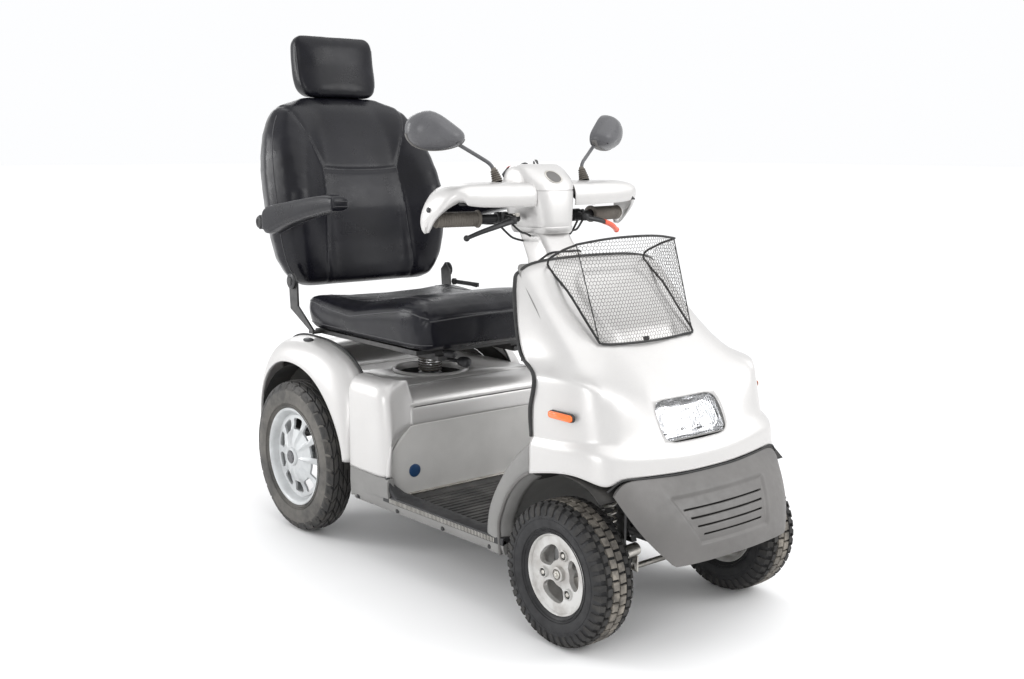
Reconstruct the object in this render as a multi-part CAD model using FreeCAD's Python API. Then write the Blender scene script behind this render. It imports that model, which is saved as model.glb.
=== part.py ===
"""Four-wheeled mobility scooter, built as separate named sub-parts.

Frame: +Z up, forward is -Y, the rider's right hand is -X.
The origin is on the floor, at the centre of the scooter's bounding box. Millimetres.
"""

import FreeCAD, Part
import math
import os

# ---------------------------------------------------------------- driving dimensions
HALF_LENGTH = 817.0          # bounding box, front bumper to the back of the headrest

FRONT_AXLE_Y = -577.0
FRONT_TYRE_R = 158.0         # 4.10/3.50-6 tyre
FRONT_TYRE_W = 98.0
FRONT_RIM_R = 90.0
FRONT_TYRE_X = 266.0         # centre plane of the tyre
KINGPIN_X = 180.0

REAR_AXLE_Y = 462.5
REAR_TYRE_R = 208.5          # 3.00-10 tyre
REAR_TYRE_W = 82.0
REAR_RIM_R = 134.0
REAR_TYRE_X = 309.0

RAKE = math.atan(0.6)        # steering axis, from vertical
TILT_Y = -435.0              # tiller tilt pivot, on the steering axis
TILT_Z = 430.0

DECK_Z = 175.0
DECK_FRONT_Y = -352.0
DECK_REAR_Y = 52.0
SILL_X = 322.0

SEAT_WALL_Y = 55.0           # front wall of the seat base
SEAT_BASE_X = 246.0
SEAT_BASE_TOP = 438.0
BODY_REAR_Y = 698.0
POST_Y = 292.0               # seat post axis
CUSHION_Z = 549.0            # underside of the seat cushion
CUSHION_X = 260.0
CUSHION_FRONT = -30.0
CUSHION_REAR = 545.0
BACK_HINGE_Y = 574.0
BACK_HINGE_Z = 678.0
ARM_X = 318.0                # armrest centre plane
ARMREST_Y = 640.0            # armrest pivot
ARMREST_Z = 842.0

SKIN = 4.0                   # moulded covers
RUN = 0.05                   # radial clearance of a running fit
GAP = 0.5                    # air between parts of different bodies
TUBE_R = 16.0                # frame tube
RAIL_Z = 150.0

PARTS = {}


# ---------------------------------------------------------------- helpers
def vec(x, y, z):
    return FreeCAD.Vector(x, y, z)


def box(x0, x1, y0, y1, z0, z1):
    return Part.makeBox(x1 - x0, y1 - y0, z1 - z0, vec(x0, y0, z0))


def rod(start, end, radius, bore=0.0):
    """Cylinder from start to end, with an optional bore."""
    axis = end - start
    body = Part.makeCylinder(radius, axis.Length, start, axis)
    if bore:
        body = body.cut(Part.makeCylinder(bore, axis.Length, start, axis))
    return body


def prism(points, push):
    """Closed flat outline, pushed along a vector."""
    return Part.Face(Part.makePolygon(points + points[:1])).extrude(push)


def side_prism(outline, x0, x1):
    """Outline of (y, z) points, between two X planes."""
    return prism([vec(x0, y, z) for y, z in outline], vec(x1 - x0, 0, 0))


def plan_prism(outline, z0, z1):
    """Outline of (x, y) points, between two Z planes."""
    return prism([vec(x, y, z0) for x, y in outline], vec(0, 0, z1 - z0))


def front_prism(outline, y0, y1):
    """Outline of (x, z) points, between two Y planes."""
    return prism([vec(x, y0, z) for x, z in outline], vec(0, y1 - y0, 0))


def strip_plates(line, thickness_step, x0, x1):
    """One plate per stretch of a bent wall: line is (y, z), stepped sideways by (dy, dz)."""
    dy, dz = thickness_step
    plates = []
    for (ya, za), (yb, zb) in zip(line, line[1:]):
        outline = [(ya, za), (yb, zb), (yb + dy, zb + dz), (ya + dy, za + dz)]
        plates.append(side_prism(outline, x0, x1))
    return plates


def paired_plates(outer, inner, x0, x1):
    """Plates between two lines of the same length."""
    rows = zip(outer, outer[1:], inner, inner[1:])
    return [side_prism([a, b, d, c], x0, x1) for a, b, c, d in rows]


def banded(shell, bands, corner_y):
    """Cuts a thin shell into simple solids. Each band is (z low, z high, x cuts of its right half);
    the outermost cells are cut once more at corner_y."""
    far = 900
    solids = []
    for low, high, cuts in bands:
        edges = [-far] + [-x for x in cuts] + cuts[::-1] + [far]
        for x0, x1 in zip(edges, edges[1:]):
            outermost = -x0 == far or x1 == far
            y_edges = [-far, corner_y, far] if outermost else [-far, far]
            for y0, y1 in zip(y_edges, y_edges[1:]):
                solids += shell.common(box(x0, x1, y0, y1, low, high)).Solids
    return solids


def loft(*sections):
    """Solid through closed outlines, each a list of (x, y, z) points."""
    wires = [Part.makePolygon([vec(*p) for p in s] + [vec(*s[0])]) for s in sections]
    return Part.makeLoft(wires, True, True)


def mirrored(shape):
    return shape.mirror(vec(0, 0, 0), vec(1, 0, 0))


def both(shapes):
    """The shapes and their mirror images across the centre plane."""
    return shapes + [mirrored(s) for s in shapes]


def joined(solids):
    """Separate solids that meet face to face: each gives way to those before it."""
    kept = []
    for solid in solids:
        for other in kept:
            if solid.BoundBox.intersect(other.BoundBox):
                solid = solid.cut(other)
        kept.append(solid)
    return kept


def part(name, solids):
    PARTS[name] = Part.makeCompound([s for shape in solids for s in shape.Solids])


def steer_point(s, forward=0.0, x=0.0):
    """Point on the steering axis, s above the tilt pivot, stepped forward square to it."""
    return vec(x,
               TILT_Y + s * math.sin(RAKE) - forward * math.cos(RAKE),
               TILT_Z + s * math.cos(RAKE) + forward * math.sin(RAKE))


def column_section(s, width, depth, chamfer):
    """Eight-sided section across the steering axis."""
    w, d, c = width / 2, depth / 2, chamfer
    corners = [(-w, -d + c), (-w, d - c), (-w + c, d), (w - c, d),
               (w, d - c), (w, -d + c), (w - c, -d), (-w + c, -d)]
    return [tuple(steer_point(s, forward, x)) for x, forward in corners]


def revolve(profile, centre):
    """Ring about an X axis through centre; the profile is (x, radius) points."""
    points = [vec(x, centre.y, centre.z + r) for x, r in profile]
    face = Part.Face(Part.makePolygon(points + points[:1]))
    return face.revolve(centre, vec(1, 0, 0), 360)


# ---------------------------------------------------------------- wheels
def tyre(centre, radius, width, bead, shoulder):
    w = width / 2
    profile = [(-w * 0.72, bead), (-w, bead + shoulder), (-w, radius - shoulder),
               (-w + shoulder * 0.8, radius - shoulder * 0.25), (-w * 0.3, radius),
               (w * 0.3, radius), (w - shoulder * 0.8, radius - shoulder * 0.25),
               (w, radius - shoulder), (w, bead + shoulder), (w * 0.72, bead)]
    return revolve([(centre.x + x, r) for x, r in profile], centre)


def rim(centre, bead, width, hub_r, bore, outside, disc_out, spoke_count, window_r):
    """Rim with a barrel, a disc with round windows, and a bored hub.
    outside is +1 or -1, the side of the scooter; disc_out is how far out the disc lies."""
    barrel = revolve([(centre.x - width / 2, bead - 9), (centre.x - width / 2, bead - 0.2),
                      (centre.x + width / 2, bead - 0.2), (centre.x + width / 2, bead - 9)], centre)
    face_x = centre.x + outside * disc_out
    disc = rod(vec(face_x - 5, centre.y, centre.z), vec(face_x + 5, centre.y, centre.z), bead - 8)
    ring_r = (hub_r + bead - 8) / 2 + 2
    for k in range(spoke_count):
        a = 2 * math.pi * k / spoke_count
        hole = vec(face_x - 8, centre.y + ring_r * math.cos(a), centre.z + ring_r * math.sin(a))
        disc = disc.cut(rod(hole, hole + vec(16, 0, 0), window_r))
    hub_ends = sorted([face_x + outside * 6, face_x - outside * 46])
    hub = rod(vec(hub_ends[0], centre.y, centre.z), vec(hub_ends[1], centre.y, centre.z), hub_r)
    bore_rod = rod(vec(hub_ends[0] - 1, centre.y, centre.z), vec(hub_ends[1] + 1, centre.y, centre.z), bore)
    return barrel.fuse([disc, hub]).cut(bore_rod).removeSplitter()


def wheels():
    front = vec(FRONT_TYRE_X, FRONT_AXLE_Y, FRONT_TYRE_R)
    rear = vec(REAR_TYRE_X, REAR_AXLE_Y, REAR_TYRE_R)
    made = {
        "front_tyre": tyre(front, FRONT_TYRE_R, FRONT_TYRE_W, FRONT_RIM_R, 16),
        "front_rim": rim(front, FRONT_RIM_R, FRONT_TYRE_W * 0.74, 24, 10 + RUN, 1, 14, 3, 19),
        "rear_tyre": tyre(rear, REAR_TYRE_R, REAR_TYRE_W, REAR_RIM_R, 16),
        "rear_rim": rim(rear, REAR_RIM_R, REAR_TYRE_W * 0.74, 40, 12 + RUN, 1, -12, 10, 15),
    }
    for name, solid in made.items():
        part(name + "_L", [solid])
        part(name + "_R", [mirrored(solid)])


# ---------------------------------------------------------------- front suspension and steering
ARM_PIVOT = (-400.0, 150.0)      # (y, z) of the front arm hinge
PIN_R = 8.0


def front_suspension():
    eye = vec(KINGPIN_X, FRONT_AXLE_Y, FRONT_TYRE_R)
    pivot_y, pivot_z = ARM_PIVOT
    sleeve = rod(vec(80, pivot_y, pivot_z), vec(112, pivot_y, pivot_z), 17, PIN_R + RUN)
    bar = box(84, 110, FRONT_AXLE_Y - 18, pivot_y - 14, 142, 164)
    reach = box(108, KINGPIN_X - 8, FRONT_AXLE_Y - 18, FRONT_AXLE_Y + 18, 142, 174)
    boss = Part.makeCylinder(19, 54, eye - vec(0, 0, 27))
    arm = sleeve.fuse([bar, reach, boss])
    arm = arm.cut(Part.makeCylinder(PIN_R + RUN, 56, eye - vec(0, 0, 28)))
    pad = box(80, 114, FRONT_AXLE_Y + 30, FRONT_AXLE_Y + 66, 164, 170)
    part("front_arm_L", [arm.fuse(pad).removeSplitter()])
    part("front_arm_R", [mirrored(arm.fuse(pad).removeSplitter())])

    ear_r = 17.0
    ears = [Part.makeCylinder(ear_r, 12, eye + vec(0, 0, z)) for z in (28, -40)]
    pin = Part.makeCylinder(PIN_R, 84, eye - vec(0, 0, 42))
    web = box(KINGPIN_X + 21, KINGPIN_X + 31, FRONT_AXLE_Y - ear_r, FRONT_AXLE_Y + ear_r,
              FRONT_TYRE_R - 40, FRONT_TYRE_R + 40)
    bridges = [box(KINGPIN_X, KINGPIN_X + 22, FRONT_AXLE_Y - 12, FRONT_AXLE_Y + 12,
                   FRONT_TYRE_R + z, FRONT_TYRE_R + z + 12) for z in (28, -40)]
    stub = rod(vec(KINGPIN_X + 30, FRONT_AXLE_Y, FRONT_TYRE_R),
               vec(FRONT_TYRE_X + 26, FRONT_AXLE_Y, FRONT_TYRE_R), 10)
    steer_arm = box(KINGPIN_X - 10, KINGPIN_X + 10, FRONT_AXLE_Y, FRONT_AXLE_Y + 78,
                    FRONT_TYRE_R - 52, FRONT_TYRE_R - 40)
    knuckle = ears[0].fuse([ears[1], pin, web, stub, steer_arm] + bridges).removeSplitter()
    part("knuckle_L", [knuckle])
    part("knuckle_R", [mirrored(knuckle)])

    rod_y, rod_z = FRONT_AXLE_Y + 70, FRONT_TYRE_R - 72
    bar = rod(vec(-KINGPIN_X + 12, rod_y, rod_z), vec(KINGPIN_X - 12, rod_y, rod_z), 7)
    ends = both([Part.makeCylinder(13, 16, vec(KINGPIN_X, rod_y, rod_z - 8))])
    part("tie_rod", [bar.fuse(ends).removeSplitter()])

    for side, name in ((1, "front_spring_L"), (-1, "front_spring_R")):
        foot = vec(side * 97, FRONT_AXLE_Y + 48, 170 + GAP)
        part(name, [Part.makeCylinder(17, 120, foot)])

    stem = rod(steer_point(-26), steer_point(-250), 20)
    collar = rod(steer_point(-100), steer_point(-104), 31)
    yoke = loft(column_section(-38, 64, 44, 6), column_section(-24, 64, 44, 6))
    ears = both([rod(vec(23, TILT_Y, TILT_Z), vec(31, TILT_Y, TILT_Z), 21)])
    posts = both([loft(*[[tuple(steer_point(s, f, x)) for x, f in ((23, -18), (31, -18), (31, 18), (23, 18))]
                         for s in (-26, 0)])])
    pin = rod(vec(-33, TILT_Y, TILT_Z), vec(33, TILT_Y, TILT_Z), PIN_R)
    pitman = loft(*[[tuple(steer_point(s, f, x)) for x, f in ((-13, -58), (13, -58), (13, 24), (-13, 24))]
                    for s in (-250, -241)])
    part("steering_stem", [stem.fuse([collar, yoke, pin, pitman] + ears + posts).removeSplitter()])


# ---------------------------------------------------------------- frame
def main_frame():
    head = rod(steer_point(-106), steer_point(-216), 29)
    head_bore = rod(steer_point(-90), steer_point(-240), 20 + RUN)
    head_low = steer_point(-161)
    cheeks = both([side_prism([(head_low.y - 26, 164), (head_low.y + 70, 164), (head_low.y + 52, 320),
                               (head_low.y + 8, 262)], 24, 40)])
    clear_stem = rod(steer_point(-40), steer_point(-106), 33)
    clear_foot = rod(steer_point(-216), steer_point(-270), 64)
    head_block = head.fuse(cheeks).cut(head_bore).cut(clear_stem).cut(clear_foot)

    front_rails = both([rod(vec(58, -530, RAIL_Z), vec(58, -352, RAIL_Z), TUBE_R)])
    pivot_y, pivot_z = ARM_PIVOT
    arm_pins = both([rod(vec(70, pivot_y, pivot_z), vec(116, pivot_y, pivot_z), PIN_R)])
    towers = both([box(74, 120, FRONT_AXLE_Y + 26, FRONT_AXLE_Y + 70, 291, 297)])
    tower_legs = both([box(66, 73, FRONT_AXLE_Y + 26, FRONT_AXLE_Y + 70, 160, 297)])
    side_rails = both([rod(vec(120, -352, RAIL_Z - 6), vec(120, 262, RAIL_Z - 6), TUBE_R)])
    crosses = [rod(vec(-205, y, RAIL_Z - 6), vec(205, y, RAIL_Z - 6), 13) for y in (-320, -120, 80)]
    front_cross = rod(vec(-136, -352, RAIL_Z - 2), vec(136, -352, RAIL_Z - 2), 18)
    rear_cross = rod(vec(-136, 262, RAIL_Z - 6), vec(136, 262, RAIL_Z - 6), 17)
    risers = both([rod(vec(120, 262, RAIL_Z - 6), vec(120, 300, 392), TUBE_R)])
    upper_rails = both([rod(vec(120, 288, 392), vec(120, 660, 392), TUBE_R)])
    upper_cross = [rod(vec(-120, y, 392), vec(120, y, 392), TUBE_R) for y in (POST_Y + 14, 655)]
    socket = Part.makeCylinder(33, 96, vec(0, POST_Y, 334))
    socket_bore = Part.makeCylinder(25 + RUN, 200, vec(0, POST_Y, 300))
    bumper_bar = rod(vec(-98, -704, RAIL_Z + 76), vec(98, -704, RAIL_Z + 76), 12)
    bumper_legs = both([rod(vec(62, -546, RAIL_Z + 96), vec(62, -704, RAIL_Z + 76), 9)])
    tray = box(-200, 200, 70, 240, 168, 172)
    swing_pins = both([rod(vec(136, 262, RAIL_Z - 6), vec(182, 262, RAIL_Z - 6), PIN_R)])

    solids = [socket] + joined(
        [head_block] + front_rails + side_rails + [front_cross, rear_cross] + crosses + risers
        + upper_rails + upper_cross + arm_pins + swing_pins + tower_legs + towers
        + [bumper_bar] + bumper_legs + [tray])
    solids = [solids[0].cut(socket_bore)] + [s.cut(socket).cut(socket_bore) for s in solids[1:]]
    part("main_frame", solids)
    part("batteries", both([box(4, 201, 73, 238, 172.3, 342)]))


# ---------------------------------------------------------------- rear axle
SWING_PIVOT = (262.0, RAIL_Z - 6)


def rear_axle():
    y, z = REAR_AXLE_Y, REAR_TYRE_R
    tube = rod(vec(-236, y, z), vec(236, y, z), 27)
    gearbox = rod(vec(-34, y, z), vec(58, y, z), 74)
    shafts = both([rod(vec(236, y, z), vec(REAR_TYRE_X - 4, y, z), 12)])
    motor = rod(vec(12, y - 60, z), vec(12, y - 178, z), 50)
    brake = rod(vec(12, y - 178, z), vec(12, y - 186, z), 38)
    pivot_y, pivot_z = SWING_PIVOT
    arm_line = [(pivot_y, pivot_z - 17), (pivot_y, pivot_z + 17), (y, z + 20), (y, z - 34)]
    arms = both([side_prism(arm_line, 144, 168)])
    eyes = both([rod(vec(144, pivot_y, pivot_z), vec(168, pivot_y, pivot_z), 19)])
    bores = both([rod(vec(136, pivot_y, pivot_z), vec(184, pivot_y, pivot_z), PIN_R + RUN)])
    pads = both([box(128, 176, y + 8, y + 56, z + 24, z + 30), box(140, 170, y - 4, y + 30, z - 10, z + 26)])
    whole = tube.fuse([gearbox, motor, brake] + shafts + arms + eyes + pads)
    for bore in bores:
        whole = whole.cut(bore)
    part("rear_springs", both([Part.makeCylinder(21, 134, vec(152, y + 32, z + 30 + GAP))]))

    pivot = vec(30, y + 92, z)
    ear = box(14, 20, y + 60, y + 104, z - 11, z + 11)
    hub_pin = rod(pivot - vec(12, 0, 0), pivot + vec(10, 0, 0), 5)
    part("rear_axle", [whole.fuse([ear, hub_pin]).removeSplitter()])
    hub = rod(pivot - vec(8, 0, 0), pivot + vec(8, 0, 0), 11)
    handle = rod(pivot, pivot + vec(0, 0, 96), 5)
    knob = rod(pivot + vec(0, 0, 96), pivot + vec(0, 0, 126), 11)
    pin_hole = rod(pivot - vec(12, 0, 0), pivot + vec(12, 0, 0), 5 + RUN)
    part("freewheel_lever", [hub.fuse([handle, knob]).cut(pin_hole).removeSplitter()])


# ---------------------------------------------------------------- lower body
def floor_and_sills():
    step = 8.0
    outline = [(-284, DECK_REAR_Y), (284, DECK_REAR_Y), (284, DECK_FRONT_Y + 6), (-284, DECK_FRONT_Y + 6)]
    deck = plan_prism(outline, DECK_Z - step, DECK_Z - 3)
    part("floor_deck", [deck])
    mat = plan_prism([(-276, DECK_REAR_Y - 10), (276, DECK_REAR_Y - 10), (276, DECK_FRONT_Y + 14),
                      (-276, DECK_FRONT_Y + 14)], DECK_Z - 3, DECK_Z + 2)
    part("foot_mat", [mat])

    sill = plan_prism([(285, -398), (299, -398), (SILL_X, 190), (285, 190)], 148, 186)
    kick = side_prism([(36, 186), (190, 186), (202, 234), (30, 234)], 290, SILL_X - 3)
    flare = [(-398, 150), (-380, 186), (-388, 238), (-412, 310), (-446, 372), (-486, 428),
             (-486.5, 340), (-462, 312), (-428, 250), (-408, 200), (-404, 150)]
    plate = side_prism(flare, 292, 300)
    part("side_sills", both([sill.fuse([kick, plate]).removeSplitter()]))


def seat_base():
    profile = [(SEAT_WALL_Y, 168), (SEAT_WALL_Y, 354), (62, 400), (430, 400), (430, 168)]
    inner = [(SEAT_WALL_Y + SKIN, 160), (SEAT_WALL_Y + SKIN, 353), (66, 410), (440, 410), (440, 160)]
    wall = side_prism(profile, -SEAT_BASE_X, SEAT_BASE_X)
    hollow = side_prism(inner, -SEAT_BASE_X + SKIN, SEAT_BASE_X - SKIN)
    axle_way = box(-300, 300, 236, 440, 100, 330)
    part("seat_base", [wall.cut(hollow).cut(axle_way)])

    top_line = [(62, 401), (72, 422), (104, SEAT_BASE_TOP), (200, SEAT_BASE_TOP), (384, SEAT_BASE_TOP),
                (440, SEAT_BASE_TOP), (500, 484), (540, 500), (640, 500)]
    under_line = [(66, 401), (76, 419), (106, 434), (200, 434), (384, 434), (442, 434), (503, 481),
                  (541, 496), (640, 496)]
    well = Part.makeCylinder(96, 60, vec(0, POST_Y, 400))
    cover = [plate.cut(well) for plate in paired_plates(top_line, under_line, -SEAT_BASE_X, SEAT_BASE_X)]
    lip = Part.makeCylinder(104, 5, vec(0, POST_Y, SEAT_BASE_TOP)).cut(
        Part.makeCylinder(96, 5, vec(0, POST_Y, SEAT_BASE_TOP)))
    block_line = [(36, 236), (22, 300), (20, 440), (44, 470), (206, 470)]
    inner_line = [(40, 236), (26, 300), (24, 438), (46, 466), (206, 466)]
    outer_x = SILL_X + 3
    block = paired_plates(block_line, inner_line, SEAT_BASE_X, outer_x)
    block.append(side_prism([(206, 236)] + inner_line, outer_x - SKIN, outer_x))
    part("seat_base_top", cover + [lip] + both(block))


def rear_body():
    outer_line = [(207, 236), (207, 470), (277, 471), (340, 486), (400, 508), (470, 530), (560, 528),
                  (630, 504), (675, 450), (692, 380), (694, 300)]
    inner_line = [(200, 230), (200, 466), (277, 467), (342, 482), (402, 504), (471, 526), (559, 524),
                  (627, 500), (671, 448), (688, 379), (690, 290)]
    outer = side_prism(outer_line, SEAT_BASE_X + 1, SILL_X + 3)
    inner = side_prism(inner_line, SEAT_BASE_X, SILL_X - 1)
    arch = rod(vec(SEAT_BASE_X - 5, 465, 222), vec(SILL_X + 10, 465, 222), 238)
    part("rear_fenders", both([outer.cut(inner).cut(arch)]))

    line = [(640.5, 500), (676, 478), (BODY_REAR_Y, 410), (BODY_REAR_Y, 330), (690, 240), (650, 200)]
    back = [(640.5, 495), (672, 474), (BODY_REAR_Y - 5, 408), (BODY_REAR_Y - 5, 332), (686, 243),
            (650, 207)]
    panel = side_prism(line + back[::-1], -SEAT_BASE_X, SEAT_BASE_X)
    wing_line = [(SEAT_BASE_X + GAP, 686), (SEAT_BASE_X + GAP, BODY_REAR_Y - 6), (306, BODY_REAR_Y - 8),
                 (SILL_X, 684), (SILL_X - 4, 680), (302, 685)]
    wings = both([plan_prism(wing_line, 226, 292)])
    part("rear_panel", [panel] + wings)
    lamp = plan_prism([(150, BODY_REAR_Y + 0.2), (232, BODY_REAR_Y + 0.2), (228, BODY_REAR_Y + 12),
                       (156, BODY_REAR_Y + 12)], 342, 412)
    part("tail_lamps", both([lamp]))


# ---------------------------------------------------------------- front body
def inset(points, dy, dz):
    return [(y + dy, z + dz) for y, z in points]


COWL_FRONT = [(-350, 800), (-392, 786), (-440, 722), (-533, 625), (-600, 560), (-672, 484), (-695, 430)]
COWL_REAR = [(-486, 430), (-490, 572), (-402, 600), (-381, 653), (-370, 719), (-346, 790)]


def front_body():
    outer = side_prism(COWL_FRONT + COWL_REAR, -300, 300)
    upper_face = [(-300, 430), (-292, 500), (-284, 572), (-250, 592), (-243, 690), (-226, 752), (-176, 786),
                  (-100, 801)]
    outline = upper_face + [(-x, z) for x, z in upper_face[::-1]]
    plan = [(-301, -340), (-301, -590), (-262, -660), (-190, -700), (190, -700), (262, -660), (301, -590),
            (301, -340)]
    plan_cut = plan_prism(plan, 420, 810)
    body = outer.common(front_prism(outline, -720, -330)).common(plan_cut)
    hollow_line = inset(COWL_FRONT[:-1], 5, -6) + [(-690, 420), (-340, 420), (-340, 790)]
    hollow = side_prism(hollow_line, -296, 296)
    inner_face = [(x * 0.982, z - 4) for x, z in upper_face]
    inner_face[0] = (-295, 420)
    hollow = hollow.common(front_prism(inner_face + [(-x, z) for x, z in inner_face[::-1]], -720, -300))
    inner_plan = [(x * 0.985, y + 4) for x, y in plan[:-1]] + [(296, -300), (-296, -300)]
    hollow = hollow.common(plan_prism(inner_plan, 415, 800))
    lamp_hole = box(-99, 99, -720, -610, 434, 514)
    shell = body.cut(hollow).cut(lamp_hole)
    bands = [(420, 500, [262, 190]), (500, 572, [262, 190]), (572, 592, [240]), (592, 690, [232]),
             (690, 752, [214]), (752, 810, [170])]
    part("front_cowl", banded(shell, bands, -590))

    lens_line = [(-697, 435), (-690, 450), (-654, 513), (-646, 513), (-680, 448), (-686, 435)]
    lens = side_prism(lens_line, -98, 98)
    part("headlamp_lens", [lens])
    housing = side_prism([(-600, 436), (-600, 512), (-644, 512), (-676, 448), (-680, 436)], -97, 97)
    scoop = side_prism([(-606, 442), (-606, 506), (-646, 513), (-678, 449), (-684, 442)], -90, 90)
    part("headlamp_housing", [housing.cut(scoop)])

    centre_line = [(-350, 793), (-440, 700), (-505, 600), (-520, 500), (-500, 400), (-440, 332),
                   (-374, 258), (-353, 178)]
    column_way = rod(steer_point(-140), steer_point(40), 46)
    shroud = []
    for plate in strip_plates(centre_line, (SKIN, 0), -229, 229):
        shroud += plate.cut(column_way).cut(shell).Solids
    low = strip_plates([(-440, 336), (-374, 262), (-353, 180)], (SKIN, 0), 229, 284)
    part("leg_shroud", shroud + both(low))

    band = [(-300, -487), (-300, -600), (-284, -664), (-233, -711), (-120, -712), (120, -712), (233, -711),
            (284, -664), (300, -600), (300, -487)]
    inner_band = [(-295, -480), (-295, -599), (-280, -661), (-231, -706), (-120, -707), (120, -707),
                  (231, -706), (280, -661), (295, -599), (295, -480)]
    skirt = plan_prism(band, 372, 429.5).cut(plan_prism(inner_band, 360, 425.5))
    lid = box(-240, 240, -700, -486, 425, 430)
    skirt = skirt.cut(lid)
    part("front_fenders", [skirt])
    part("side_indicators", both([box(300.3, 306, -612, -550, 494, 516)]))


def turned_wheels():
    """Room the front tyres need at full lock and full bump."""
    lock, bump, room = math.radians(31), 16.0, 4.0
    spaces = []
    for turn in (-lock, lock):
        axle = vec(math.cos(turn), math.sin(turn), 0)
        kingpin = vec(KINGPIN_X, FRONT_AXLE_Y, FRONT_TYRE_R + bump)
        middle = kingpin + axle * (FRONT_TYRE_X - KINGPIN_X)
        half = axle * (FRONT_TYRE_W / 2 + room)
        spaces.append(rod(middle - half, middle + half, FRONT_TYRE_R + room))
    return Part.makeCompound(both(spaces))


def front_bumper():
    top = [(-233, -714), (-120, -716), (120, -716), (233, -714), (252, -700), (252, -694), (-252, -694),
           (-252, -700)]
    waist = [(-210, -794), (-120, -HALF_LENGTH), (120, -HALF_LENGTH), (210, -794), (230, -752), (226, -744),
             (-226, -744), (-230, -752)]
    low = [(-174, -804), (-110, -812), (110, -812), (174, -804), (177, -800), (176, -796), (-176, -796),
           (-177, -800)]
    levels = [[(x, y, z) for x, y in outline] for outline, z in ((top, 371), (waist, 262), (low, 206))]
    body = loft(levels[0], levels[1]).fuse(loft(levels[1], levels[2]))
    hollow = side_prism([(-690, 360), (-712, 360), (-HALF_LENGTH + 14, 262), (-800, 200), (-690, 200)],
                        -218, 218)
    part("front_bumper", [body.removeSplitter().cut(hollow).cut(turned_wheels())])


def basket():
    top_z, low_z, wire = 846.0, 630.0, 2.5
    top = [(-156, -468), (-80, -488), (0, -494), (80, -488), (156, -468)]
    low = [(-147, -512), (-80, -527), (0, -532), (80, -527), (147, -512)]
    sections = []
    for line, z in ((top, top_z), (low, low_z)):
        back = [(x, y + wire) for x, y in line[::-1]]
        sections.append([(x, y, z) for x, y in line + back])
    panel = loft(*sections)
    wing = side_prism([(-374, 755), (-418, 823), (-466, 845), (-512, 634)], 146, 148.5)
    cowl = side_prism(COWL_FRONT + COWL_REAR, -300, 300).makeOffsetShape(GAP, 0.01)
    part("front_basket", [panel.fuse(both([wing])).cut(cowl).removeSplitter()])


# ---------------------------------------------------------------- tiller
BAR_Y = -172.0
BAR_Z = 884.0


def tiller():
    column = loft(column_section(46, 96, 84, 16), column_section(120, 116, 106, 18),
                  column_section(400, 106, 100, 18))
    neck = loft(column_section(400, 106, 100, 18), column_section(505, 96, 84, 18))
    lug = rod(vec(-22.5, TILT_Y, TILT_Z), vec(22.5, TILT_Y, TILT_Z), 20)
    web = loft(*[[tuple(steer_point(s, f, x)) for x, f in ((-22, -18), (22, -18), (22, 18), (-22, 18))]
                 for s in (0, 50)])
    bore = rod(vec(-40, TILT_Y, TILT_Z), vec(40, TILT_Y, TILT_Z), PIN_R + RUN)
    frame_tube = column.fuse([neck, lug, web]).cut(bore).removeSplitter()
    part("tiller_column", [frame_tube])

    head_line = [(-248, 846), (-254, 852), (-238, 950), (-214, 996), (-186, 1010), (-132, 1008), (-96, 980),
                 (-90, 940), (-112, 905)]
    head = side_prism(head_line, -74, 74)
    head = head.cut(loft(column_section(396, 106.6, 100.6, 18), column_section(505.6, 96.6, 84.6, 18)))
    console = [s for s in head.Solids]
    part("console", console)

    cover_line = [(-214, 966), (-150, 972), (-128, 950), (-140, 905), (-190, 905), (-226, 920)]
    sweep = [[(74.5 if k == 0 else 74.5 + k * 62, y + k * 9, z - k * 3) for y, z in cover_line]
             for k in range(4)]
    arm = loft(*sweep)
    tip_line = [[(x, y, z) for y, z in line] for x, line in
                ((260.5, inset(cover_line, 27, -9)), (306, inset([(y * 0.8 - 40, z * 0.9 + 84) for y, z in
                                                                  cover_line], 30, -22)),
                 (326, inset([(y * 0.5 - 92, z * 0.75 + 212) for y, z in cover_line], 30, -36)))]
    tip = loft(*tip_line)
    hollow = loft(*[[(x, y, z) for y, z in line] for x, line in
                    ((90, [(-212, 900), (-212, 950), (-148, 956), (-142, 900)]),
                     (296, [(-184, 870), (-184, 928), (-120, 934), (-112, 870)]))])
    guard = arm.fuse(tip).removeSplitter().cut(hollow)
    part("hand_guards", both([guard]))

    bar = rod(vec(76, BAR_Y, BAR_Z), vec(180, BAR_Y + 14, BAR_Z), 11)
    grip = rod(vec(180, BAR_Y + 14, BAR_Z), vec(292, BAR_Y + 32, BAR_Z), 18)
    part("grips", both([bar.fuse(grip).removeSplitter()]))

    for name, side in (("brake_lever_L", 1), ("brake_lever_R", -1)):
        pivot = vec(116, -206, 880)
        hub = Part.makeCylinder(11, 12, pivot - vec(0, 0, 6))
        blade = loft(*[[(x, y + dy, z + dz) for dy, dz in ((-5, -5), (5, -5), (5, 5), (-5, 5))]
                       for x, y, z in ((118, -208, 880), (180, -220, 868), (236, -214, 846))])
        ball = Part.makeSphere(8, vec(238, -214, 845))
        lever = hub.fuse([blade, ball]).removeSplitter()
        part(name, [lever if side == 1 else mirrored(lever)])

    wig_y, wig_z = -126.0, 876.0
    paddle = loft(*[[(x, y, z) for y, z in ((-128, 872), (-104, 866), (-102, 872), (-126, 879))]
                    for x in (78, 128)])
    stub = rod(vec(75, wig_y, wig_z), vec(90, wig_y, wig_z), 6)
    part("wigwag_lever", both([paddle.fuse(stub).removeSplitter()]))
    controls()


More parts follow.
